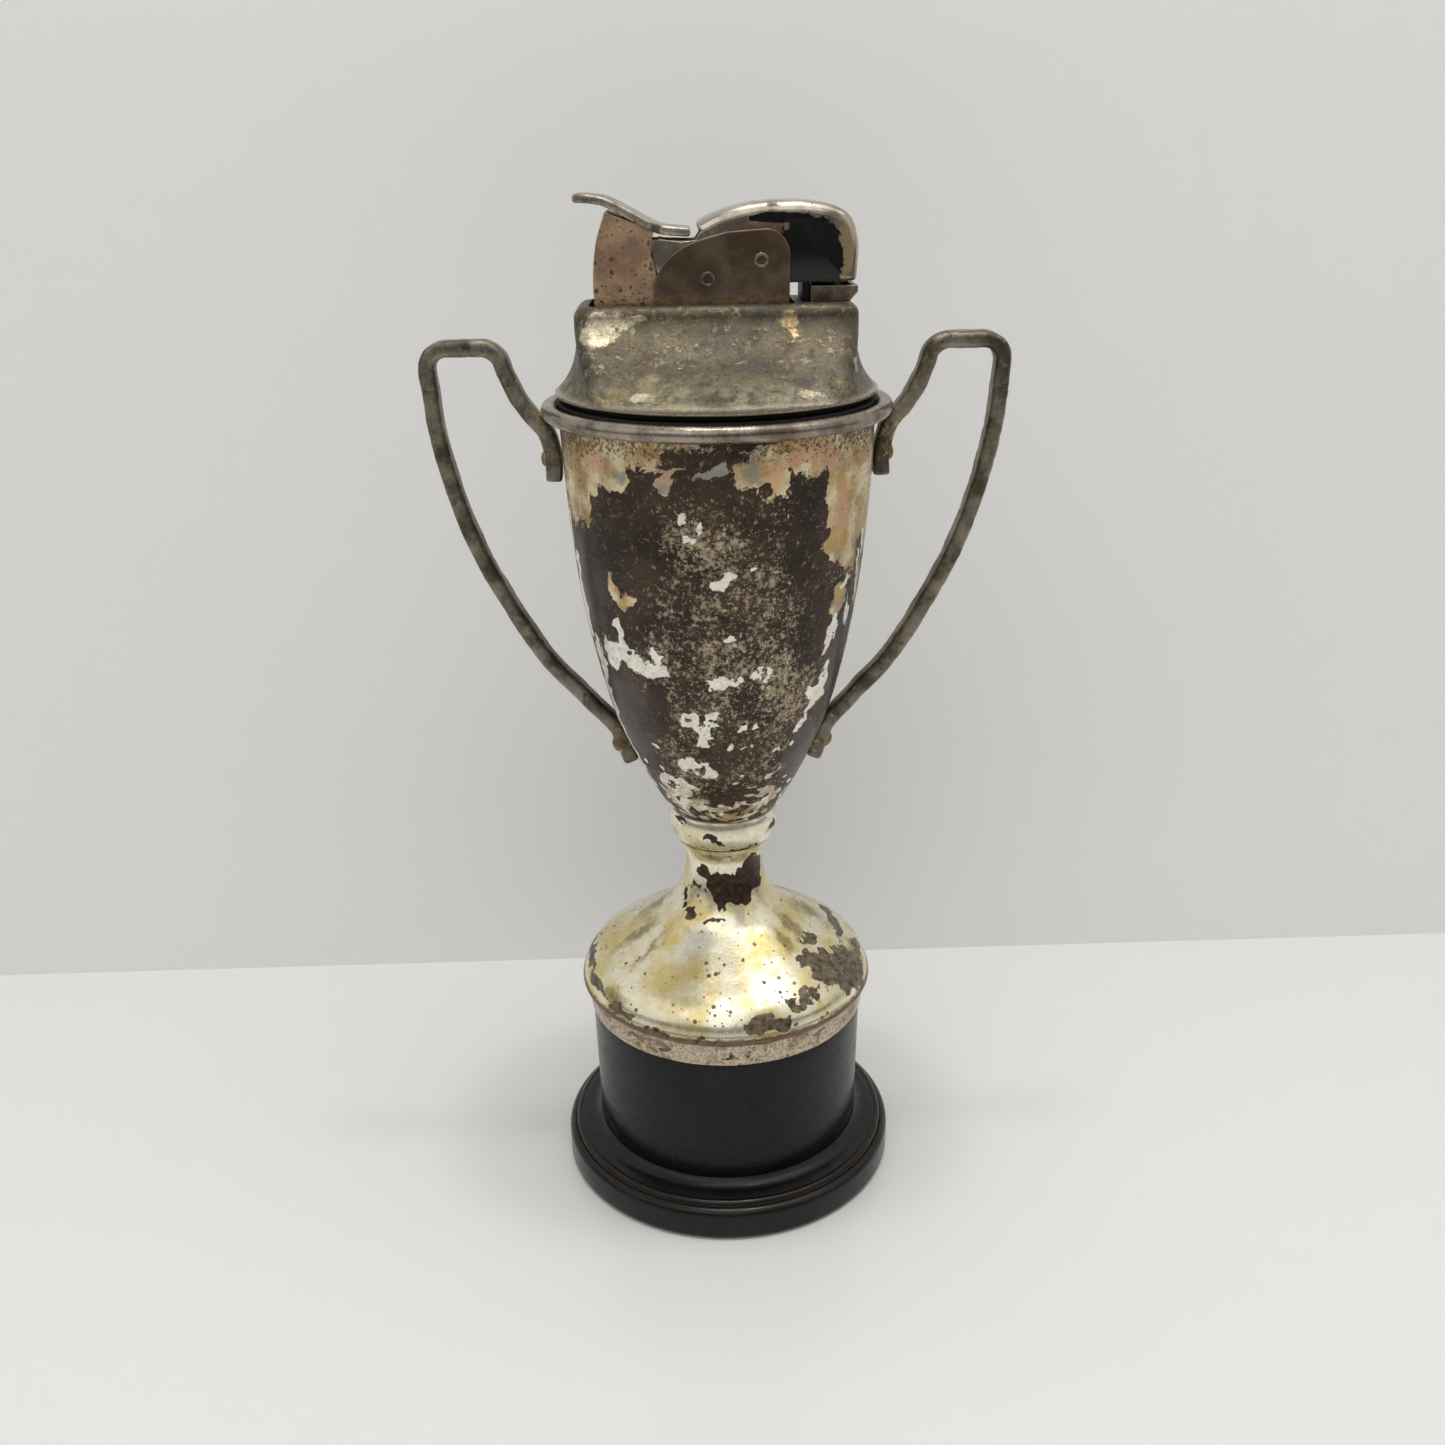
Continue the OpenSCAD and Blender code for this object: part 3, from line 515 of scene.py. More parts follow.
def bowl_patina():
    """Nearly black tarnish with cream plating left in a band under the rim and in flakes."""
    f = Finish("bowl_patina")
    cloud = f.noise(7, 5, 0.6, 1)
    grit = f.noise(0.55, 5, 0.7, 2)
    speck = f.noise(1.5, 5, 0.65, 3)
    tarnish = f.vary(cloud, "2d231b", "48392c", 0.35, 0.65)
    f.base(tarnish, 0.55, f.step(speck, 0.3, 0.7, 0.34, 0.5), f.times(grit, 0.45))
    f.flecks((5, 4, 0.6, 4), 0.52, 0.7, 0.6, "4b3524", 0.6, 0.42)
    patchy = f.math("SUBTRACT", f.noise(6.5, 4, 0.6, 22), 0.5)
    mottle = f.painted("mottle")
    crumbs = f.plus(f.noise(0.95, 10, 0.84, 6), f.times(mottle, 0.072))
    crumbs = f.plus(crumbs, f.stray(grit, 0.22))
    crumbs = f.plus(crumbs, f.times(f.times(patchy, mottle), 0.35))
    f.layer(f.step(crumbs, 0.53, 0.62, 0.0, 0.45), "6d5f4a", 0.65, 0.42, 0.5)
    f.layer(f.step(crumbs, 0.585, 0.635, 0.0, 0.85), f.vary(grit, "8b7b64", "cdbc9f"), 0.7, 0.4, 0.65)
    sparks = f.plus(f.noise(0.6, 6, 0.75, 23), f.times(mottle, 0.05))
    f.layer(f.step(sparks, 0.635, 0.665, 0.0, 0.9), "d4cab8", 0.7, 0.38, 0.85)
    pits = f.plus(f.noise(0.9, 6, 0.75, 24), f.times(mottle, 0.03))
    f.layer(f.step(pits, 0.62, 0.66, 0.0, 0.9), "17110d", 0.4, 0.5, 0.0)
    slick = f.step(f.plus(f.painted("slick"), f.times(cloud, 0.5)), 0.22, 0.40, 0.0, 0.85)
    f.layer(slick, f.vary(cloud, "2b2524", "4e4746"), 0.6, 0.3, 0.3)
    ragged = f.stray(f.noise(1.1, 8, 0.72, 8), 1.3)
    bits = f.stray(f.noise(0.42, 4, 0.7, 9), 0.7)
    gold = f.step(f.plus(f.painted("gold"), f.plus(ragged, bits)), 0.0, 0.05)
    tone = f.vary(f.noise(4, 4, 0.55, 11), "bd9f6a", "eadcb6", 0.4, 0.62)
    tone = f.blend(f.step(f.noise(6, 3, 0.5, 12), 0.53, 0.66, 0.0, 0.75), tone, "9a948c")
    tone = f.blend(f.step(f.noise(5, 3, 0.5, 13), 0.55, 0.68, 0.0, 0.7), tone, "d3aa94")
    smoke = f.stray(f.noise(1.6, 5, 0.65, 26), 1.6)
    tone = f.blend(f.step(f.plus(f.painted("ash"), smoke), 0.0, 0.5, 0.0, 0.8), tone, "8e918a")
    tone = f.blend(f.step(f.plus(f.painted("blush"), smoke), 0.0, 0.6, 0.0, 0.7), tone, "dcab8a")
    f.layer(gold, tone, 0.82, f.step(speck, 0.3, 0.7, 0.26, 0.44), 0.9)
    rust = f.plus(f.noise(0.55, 7, 0.78, 14), f.times(f.painted("rust"), 0.11))
    rust = f.times(f.step(rust, 0.615, 0.66, 0.0, 0.85), gold)
    f.layer(rust, f.vary(grit, "33200f", "6d4a25"), 0.2, 0.6, 0.75)
    white_edge = f.plus(f.painted("white"), f.plus(f.times(ragged, 0.75), bits))
    white = f.step(white_edge, 0.0, 0.05)
    honey = f.times(f.step(f.axis(2), 75.0, 66.0), f.step(f.noise(2.2, 6, 0.7, 27), 0.42, 0.58))
    pale = f.blend(honey, f.vary(speck, "efe9d8", "fffdf6"), "ae905c")
    f.layer(white, pale, 0.25, 0.36, 1.0)
    smudge = f.times(f.step(f.noise(1.0, 7, 0.75, 17), 0.53, 0.62, 0.0, 0.6), white)
    f.layer(smudge, "c3bba6", 0.5, 0.4, 0.9)
    spot = f.times(f.step(f.noise(0.6, 6, 0.75, 16), 0.635, 0.66), white)
    f.layer(spot, "3b2e20", 0.4, 0.5, 0.6)
    scratch = f.noise(0.5, 2, 0.5, 20, stretch=(14, 14, 1), warp=0.4)
    f.layer(f.step(scratch, 0.73, 0.76, 0.0, 0.35), "9d9282", 0.8, 0.4)
    return f.done(bump=0.07)


def plated(name, warm, bright):
    """Bright cream plating with yellowing, olive stains, a coppery band and crisp dark losses."""
    f = Finish(name)
    cloud = f.noise(6, 5, 0.6, 1)
    fine = f.noise(0.8, 5, 0.65, 2)
    tone = f.vary(cloud, bright, warm, 0.35, 0.65)
    tone = f.blend(f.step(f.noise(3, 4, 0.6, 5), 0.5, 0.75, 0.0, 0.6), tone, "efe6bb")
    f.grained(tone, 0.86, fine, 0.16, 0.3, 0.35)
    olive = f.plus(f.painted("stain"), f.stray(cloud, 1.4))
    f.layer(f.step(olive, 0.1, 0.9, 0.0, 0.72), f.vary(fine, "6d5c38", "9a8455"), 0.75, 0.3)
    f.flecks((1.6, 6, 0.7, 7), 0.56, 0.68, 0.35, "b39d63", 0.8, 0.3)
    crisp = f.stray(f.noise(0.9, 6, 0.65, 8), 0.8)
    worn = f.plus(f.painted("band"), f.times(crisp, 0.8))
    copper = f.vary(f.noise(0.5, 8, 0.8, 10), "8a735c", "dccfb8", 0.36, 0.64)
    f.layer(f.step(worn, 0.0, 0.5, 0.0, 0.9), copper, 0.8, 0.3, 0.3)
    smear = f.times(f.step(f.noise(3.2, 6, 0.7, 16), 0.5, 0.62, 0.0, 0.75), f.painted("band"))
    f.layer(f.math("MAXIMUM", smear, 0.0), "75604a", 0.7, 0.4, 0.2)
    ridge = f.plus(f.painted("ridge"), f.stray(fine, 1.6))
    f.layer(f.step(ridge, 0.3, 0.7, 0.0, 0.8), "6f4e3c", 0.7, 0.34, 0.5)
    dark = f.step(f.plus(f.painted("dark"), crisp), 0.0, 0.07)
    high = f.step(f.axis(2), 44.0, 48.0)
    broad = f.vary(f.noise(1.2, 6, 0.75, 9), "3b2f22", "8c8068")
    loss = f.blend(high, broad, f.vary(fine, "20130c", "4a382a"))
    f.layer(dark, loss, 0.5, 0.36, 0.0)
    pepper = f.plus(f.noise(0.5, 6, 0.75, 13), f.times(f.painted("band"), 0.045))
    f.layer(f.step(pepper, 0.63, 0.67, 0.0, 0.9), "3c2c1b", 0.3, 0.5, 0.1)
    gravel = f.plus(f.noise(1.7, 6, 0.75, 15), f.times(f.painted("band"), 0.03))
    f.layer(f.step(gravel, 0.64, 0.68, 0.0, 0.75), "54402c", 0.4, 0.45, 0.05)
    freckled = f.step(f.noise(4, 5, 0.65, 18), 0.47, 0.55)
    for size, seed, reach in ((1.9, 4, 0.21), (1.1, 11, 0.18)):
        dots = f.times(f.step(f.cells(size, seed), reach, reach - 0.06, 0.0, 0.85), freckled)
        f.layer(dots, f.vary(fine, "2d2316", "6a5a34"), 0.3, 0.5, 0.0)
    return f.done(bump=0.05)


def collar_metal():
    """Plating worn to an olive-grey skin, with dark and straw stains, brown bloom and bright scraps; painted
    shade under its roll and on its inside, and a painted highlight along its rolled lower edge.
    """
    f = Finish("collar_metal")
    cloud = f.noise(5, 6, 0.65, 1)
    grain = f.noise(0.35, 5, 0.75, 2)
    f.grained(f.vary(cloud, "474034", "5f5745", 0.36, 0.62), 0.6, grain, 0.38, 0.54, 0.6)
    f.flecks((3, 8, 0.78, 4), 0.52, 0.62, 0.75, "46351f", 0.6, 0.45)
    f.flecks((1.4, 8, 0.8, 15), 0.53, 0.64, 0.6, "332b20", 0.6, 0.5, 0.2)
    f.flecks((5, 6, 0.7, 5), 0.56, 0.68, 0.5, "56605a", 0.7, 0.4)
    f.flecks((1.9, 8, 0.78, 6), 0.57, 0.66, 0.6, "857c62", 0.75, 0.38, 0.6)
    blur = f.stray(f.noise(1.8, 5, 0.65, 7), 1.6)
    patchy = f.step(f.noise(2.2, 7, 0.75, 19), 0.4, 0.6)
    low = f.times(f.step(f.axis(2), 131.5, 128.0, 0.0, 0.75), patchy)
    f.layer(low, f.vary(grain, "7f7a66", "aba68e"), 0.75, 0.36, 0.5)
    f.layer(f.step(f.plus(f.painted("blue"), blur), -0.2, 0.9, 0.0, 0.75), "383733", 0.7, 0.36)
    f.layer(f.step(f.plus(f.painted("straw"), blur), 0.1, 0.6, 0.0, 0.5), "8e8258", 0.75, 0.36)
    f.flecks((2.6, 9, 0.84, 21), 0.545, 0.575, 0.6, f.vary(grain, "7d7660", "a59c82"), 0.6, 0.42, 0.7)
    f.flecks((3.4, 9, 0.84, 23), 0.55, 0.58, 0.7, f.vary(grain, "2f2a22", "4a4234"), 0.5, 0.48, 0.1)
    crisp = f.stray(f.noise(0.7, 6, 0.7, 8), 1.5)
    bright = f.step(f.plus(f.painted("bright"), crisp), -0.1, 0.3, 0.0, 0.95)
    f.layer(bright, f.vary(f.noise(0.9, 7, 0.75, 9), "968a70", "d2c8ae"), 0.7, 0.38, 0.9)
    gold = f.step(f.plus(f.painted("gold"), f.times(crisp, 0.8)), 0.0, 0.3, 0.0, 0.85)
    f.layer(gold, f.vary(grain, "8a7248", "c6b284"), 0.75, 0.36, 0.9)
    f.flecks((0.7, 5, 0.75, 12), 0.66, 0.71, 0.8, "2f2415", 0.3, 0.5, 0.1)
    f.flecks((0.6, 5, 0.75, 14), 0.67, 0.72, 0.6, "d8cfb2", 0.8, 0.32, 0.9)
    f.flecks((0.45, 8, 0.82, 17), 0.55, 0.61, 0.55, "2c261c", 0.6, 0.5, 0.25)
    f.flecks((0.4, 8, 0.82, 18), 0.56, 0.62, 0.55, "a0977f", 0.75, 0.4, 0.8)
    # Painted highlight: a lighter tone on the rolled lower edge.
    f.layer(f.painted("rim"), f.vary(grain, "968b79", "c3b9a6"), 0.9, 0.24, 0.3)
    # Painted shade: near black under the roll and on the inside.
    f.layer(f.painted("under"), "15120f", 0.2, 0.5, 0.3)
    return f.done(bump=0.045)


def old_nickel(name, base, deep, rust, edge, rough=0.3):
    """Grey-brown nickel: cloudy, finely pitted, with brighter rubbed edges and some rust."""
    f = Finish(name)
    cloud = f.noise(4, 5, 0.6, 1)
    grain = f.noise(0.4, 5, 0.7, 2)
    f.grained(f.vary(cloud, deep, base, 0.35, 0.65), 0.88, grain, rough - 0.05, rough + 0.14, 0.6)
    f.flecks((0.8, 5, 0.7, 4), 0.62, 0.68, 0.7, "3a2c1e", 0.5, 0.5, 0.1)
    f.rubbed(edge, 0.65, "cfc4b0", 0.9, 0.26)
    rusty = f.step(f.plus(f.noise(1.1, 5, 0.7, 6), rust), 0.66, 0.74, 0.0, 0.9)
    f.layer(rusty, f.vary(grain, "4a2a12", "8c5a2c"), 0.15, 0.7, 0.9)
    return f.done(bump=0.03)


def handle_patina():
    """Dark olive patina, rubbed to metal on the corners, with gold left near the feet."""
    f = Finish("handle_patina")
    cloud = f.noise(6, 6, 0.65, 1)
    grain = f.noise(0.5, 6, 0.75, 2)
    f.grained(f.vary(cloud, "50483b", "8b8374", 0.38, 0.62), 0.82, grain, 0.26, 0.46, 0.8)
    f.rubbed(0.2, 0.5, "b5ab98", 0.9, 0.26)
    f.flecks((1.6, 8, 0.8, 4), 0.54, 0.62, 0.45, "9a8f78", 0.8, 0.34, 0.5)
    f.flecks((2.8, 8, 0.78, 5), 0.565, 0.63, 0.75, "2a221a", 0.5, 0.42, 0.3)
    crisp = f.stray(f.noise(1.3, 8, 0.75, 6), 3.0)
    gold = f.step(f.plus(f.painted("gold"), crisp), 0.0, 0.25, 0.0, 0.9)
    f.layer(gold, f.vary(f.noise(1.5, 5, 0.65, 7), "866a3c", "cdb684"), 0.8, 0.36, 0.9)
    rust = f.plus(f.noise(0.8, 7, 0.78, 9), f.times(f.painted("gold"), 0.06))
    f.layer(f.step(rust, 0.60, 0.66, 0.0, 0.9), "3f2712", 0.2, 0.6, 0.5)
    return f.done(bump=0.09)


def black_gloss(name, tone, lift, brown=0.0, gloss=0.32):
    """Moulded black with faint clouding, dust and fine rubs; brown shows on worn ridges."""
    f = Finish(name)
    cloud = f.noise(9, 4, 0.55, 1)
    rub = f.noise(1.2, 5, 0.65, 2, stretch=(6, 6, 1))
    f.base(f.vary(cloud, tone, lift), 0.0, f.step(rub, 0.3, 0.75, 0.2, 0.34), f.times(cloud, 0.5))
    if brown:
        patchy = f.math("SUBTRACT", f.noise(3, 5, 0.65, 4), 0.62)
        ridge = f.plus(f.times(f.edges(0.5), 0.6), patchy)
        f.layer(f.step(ridge, 0.0, 0.5, 0.0, brown), "4a3626", 0.1, 0.4)
    f.flecks((0.35, 4, 0.7, 6), 0.71, 0.75, 0.5, "6d6a64", 0.0, 0.6, 0.9)
    scratch = f.noise(0.35, 2, 0.5, 8, stretch=(1, 1, 26), warp=0.3)
    f.layer(f.step(scratch, 0.72, 0.75, 0.0, 0.25), "4f4d4b", 0.0, 0.45, 0.2)
    return f.done(bump=0.012, gloss=gloss)


def simple_metal(name, tone, other, rough, size=2.0, shade_z=None):
    """A clean inner metal part, with machining haze and light staining, and painted shade above a height when
    one is given.
    """
    f = Finish(name)
    haze = f.noise(size, 5, 0.6, 1)
    grain = f.noise(0.3, 4, 0.6, 2, stretch=(8, 8, 1))
    f.grained(f.vary(haze, tone, other, 0.35, 0.68), 0.95, grain, rough - 0.06, rough + 0.1)
    f.flecks((0.7, 4, 0.7, 3), 0.66, 0.72, 0.6, "4b3b28", 0.6, 0.45)
    f.rubbed(0.12, 0.4, "e8e2d2", 0.95, 0.22)
    if shade_z:
        # Painted shade: near black above the given height, with a ragged edge.
        height = f.plus(f.axis(2), f.times(haze, 1.2))
        f.layer(f.step(height, shade_z, shade_z + 0.8), "120f0d", 0.1, 0.6)
    return f.done(bump=0.012)


def fibres(name, tone, other, size, char_z=None):
    """Felt, cotton wool and wick yarn: soft tangled threads."""
    f = Finish(name)
    thread = f.noise(size, 6, 0.8, 1, warp=1.6)
    weave = f.cells(size * 2.2, 2, edge=True)
    f.base(f.vary(thread, tone, other), 0.0, 0.9, f.plus(thread, f.times(weave, 0.7)))
    f.flecks((3, 4, 0.6, 4), 0.55, 0.7, 0.4, tone, 0.0, 0.95)
    if char_z:
        charred = f.step(f.axis(2), char_z - 2.2, char_z - 0.3)
        f.layer(charred, f.vary(thread, "0b0908", "2b231b"), 0.0, 0.95)
    return f.done(bump=0.12, sheen=0.6)


def rubber():
    f = Finish("gasket_rubber")
    grain = f.noise(0.3, 4, 0.7, 1)
    f.base(f.vary(grain, "14110f", "2b2622"), 0.0, 0.65, grain)
    f.flecks((1.1, 4, 0.6, 3), 0.58, 0.7, 0.6, "3a342d", 0.0, 0.75)
    return f.done(bump=0.02)


def arm_chrome():
    """Bright chrome, gone pink above and gold at the nose, with black on each side beside the flame as a
    painted dark reflection, and painted shade along its lower edge.
    """
    f = Finish("arm_chrome")
    grain = f.noise(0.6, 5, 0.65, 2)
    f.grained(f.vary(f.noise(5, 4, 0.6, 1), "857b6e", "c0b8a9"), 0.95, grain, 0.1, 0.24, 0.4)
    ragged = f.stray(f.noise(1.3, 6, 0.7, 4), 1.1)
    blush = f.plus(f.place((9, 0, 148.5), (13, 30, 3.4)), ragged)
    f.layer(f.step(blush, 0.25, 0.7, 0.0, 0.6), "b98f7a", 0.85, 0.26)
    glow = f.plus(f.place((17.2, 0, 145.5), (2.4, 30, 6)), ragged)
    f.layer(f.step(glow, 0.2, 0.5, 0.0, 0.85), "d2b58d", 0.85, 0.28)
    f.flecks((0.8, 5, 0.7, 8), 0.64, 0.7, 0.85, "5c3a1e", 0.4, 0.5, 0.8)
    # Painted dark reflection: glossy black on each side near the nose, with a streak of it higher up.
    side = f.math("ABSOLUTE", f.axis(1))
    streak = f.place((8.6, 0, 149.9), (4.6, 30, 0.75))
    dark_reflection = f.math("MAXIMUM", f.place((12.7, 0, 144.6), (4.9, 30, 6.1)), streak)
    dark_reflection = f.plus(dark_reflection, f.times(ragged, 0.55))
    dark_reflection = f.times(f.step(dark_reflection, 0.0, 0.08), f.step(side, 3.6, 3.9))
    f.layer(dark_reflection, f.vary(grain, "070707", "151413"), 0.0, 0.16, 0.2)
    # Painted shade: dark along the lower edge, over the gap above the collar.
    f.layer(f.times(f.step(f.axis(2), 142.2, 141.8), 0.9), "1c1611", 0.3, 0.4)
    return f.done(bump=0.02)


def skirt_metal():
    """Pinkish worn plating with scattered rust spots, rubbed brighter along its edges."""
    f = Finish("skirt_metal")
    cloud = f.noise(4, 5, 0.6, 1)
    fine = f.noise(0.5, 5, 0.7, 2)
    f.grained(f.vary(cloud, "a98a74", "d0b08e", 0.35, 0.65), 0.78, fine, 0.28, 0.42, 0.5)
    f.flecks((2, 5, 0.6, 3), 0.56, 0.68, 0.5, "8f7a66", 0.8, 0.34)
    low = f.step(f.axis(2), 142.5, 138.8, 0.0, 0.05)
    rust = f.step(f.plus(f.noise(0.6, 7, 0.78, 5), low), 0.575, 0.61, 0.0, 0.95)
    f.flecks((1.4, 8, 0.8, 8), 0.55, 0.63, 0.7, "8d6c45", 0.6, 0.42)
    f.layer(rust, f.vary(fine, "3e2414", "7a4d28"), 0.2, 0.6, 0.9)
    for size, seed, reach in ((1.8, 6, 0.22), (1.0, 9, 0.19)):
        wobble = f.stray(f.noise(0.5, 5, 0.7, seed), 0.3)
        dots = f.step(f.plus(f.cells(size, seed), wobble), reach, reach - 0.05, 0.0, 0.9)
        f.layer(dots, f.vary(fine, "33200f", "6d4222"), 0.2, 0.6, 0.9)
    f.rubbed(0.35, 0.5, "d8c8ae", 0.85, 0.28)
    return f.done(bump=0.03)


def plate_metal():
    """Satin grey-brown sheet with a brassy stain along its foot."""
    f = Finish("plate_metal")
    cloud = f.noise(5, 5, 0.6, 1)
    grain = f.noise(0.35, 4, 0.65, 2, stretch=(5, 1, 1))
    f.grained(f.vary(cloud, "594a3c", "7a6a5a", 0.35, 0.65), 0.85, grain, 0.32, 0.42)
    patchy = f.math("SUBTRACT", f.noise(1.2, 6, 0.7, 4), 0.55)
    stain = f.step(f.plus(f.step(f.axis(2), 142.0, 139.0), patchy), 0.3, 0.9, 0.0, 0.6)
    f.layer(stain, f.vary(f.noise(0.7, 4, 0.6, 5), "54432b", "8c754a"), 0.6, 0.42)
    f.flecks((0.5, 5, 0.7, 7), 0.68, 0.73, 0.7, "30241a", 0.4, 0.5)
    f.rubbed(0.3, 0.75, "b5a58e", 0.9, 0.26)
    return f.done(bump=0.014)


def pad_metal():
    """Grey-olive nickel with rust along its two sides."""
    f = Finish("pad_metal")
    cloud = f.noise(4, 5, 0.6, 1)
    grain = f.noise(0.5, 5, 0.7, 2)
    f.grained(f.vary(cloud, "857e72", "b9b2a4", 0.35, 0.65), 0.86, grain, 0.24, 0.4, 0.5)
    f.flecks((1.8, 5, 0.7, 4), 0.56, 0.66, 0.6, "5d4a30", 0.6, 0.42)
    side = f.math("ABSOLUTE", f.axis(1))
    rim = f.times(f.step(side, 5.0, 5.45), f.step(f.noise(1.2, 8, 0.78, 5), 0.5, 0.6, 0.0, 0.8))
    f.layer(rim, f.vary(grain, "3d2612", "6d5230"), 0.4, 0.5, 0.6)
    f.rubbed(0.25, 0.6, "d5cfbe", 0.9, 0.24)
    return f.done(bump=0.03)


# Black: soot on the wick shield, and painted shade in the bowl's mouth and in the pin bores.
def soot():
    f = Finish("soot_and_shade_black")
    grain = f.noise(0.4, 6, 0.75, 1)
    f.grained(f.vary(grain, "050505", "1b1917"), 0.0, grain, 0.25, 0.6)
    f.rubbed(0.15, 0.25, "4a423a", 0.6, 0.4)
    return f.done(bump=0.02, gloss=0.2)


def spring_wire():
    return simple_metal("spring_wire", "8f8b84", "c5c1b8", 0.22)


# ---- The cup ----

FOOT_BAND = [(21.45, 29), (22.2, 29), (22.42, 31.2), (22.82, 32.75), (22.9, 32.95), (23.22, 33.15),
             (23.36, 33.45), (23.34, 33.75), (23.14, 34.02)]
FOOT_CURVE = curve([(22.95, 34.4), (22.4, 36), (20.6, 38), (16.5, 40.6), (12.2, 43.4), (9.2, 45.7),
                    (7.2, 48.7), (6.15, 52), (6.15, 55), (7.4, 57.6)], 8)
BOWL_CURVE = curve([(6.2, 60.95), (9.5, 65), (13.25, 72), (16.5, 80), (19.4, 92), (21.15, 104),
                    (22.15, 117), (22.4, 123.6)], 20)
RIM = (23.75, 124.68)
BEAD_R = 1.15
WALL = 0.8
BOLT_HOLE_R = 2.1
FOOT_BAND_TOP, FOOT_RIDGE_Z = 33.95, 33.6


def inside(line, gap):
    """The same line moved inwards, and turned to run back down."""
    return (line + gap * normals_left(line))[::-1]


def uneven(depth, length, seed):
    """Small dents and swells across a turned shape."""
    def shape(p):
        r = np.hypot(p[..., 0], p[..., 1])
        swell = depth * waves(p.reshape(-1, 3), length, seed).reshape(r.shape)
        k = 1 + swell / np.maximum(r, 1)
        return np.stack([p[..., 0] * k, p[..., 1] * k, p[..., 2]], 2)
    return shape


# The gold band under the rim ends level, apart from lobes that hang from it.
# Each lobe: its middle in degrees from the front, its half width in degrees, its hang in mm.
BAND_LEVEL = 122.4
BAND_LOBES = [(-66, 17, 10.5), (-46, 14, 6), (-32, 14, 2.5), (17, 9, 6.5), (32, 10, 4), (53, 16, 17),
              (72, 14, 18), (92, 16, 10), (122, 17, 6), (165, 17, 7), (-142, 17, 5), (-95, 16, 8)]


def band_edge(angle):
    """Height of the gold band's lower edge at an angle round the cup."""
    hang = np.zeros_like(angle)
    for middle, half_width, drop in BAND_LOBES:
        turn = np.abs((angle - middle + 180) % 360 - 180)
        hang = np.maximum(hang, drop * ease(2.2 * (1 - turn / half_width)))
    return BAND_LEVEL - hang


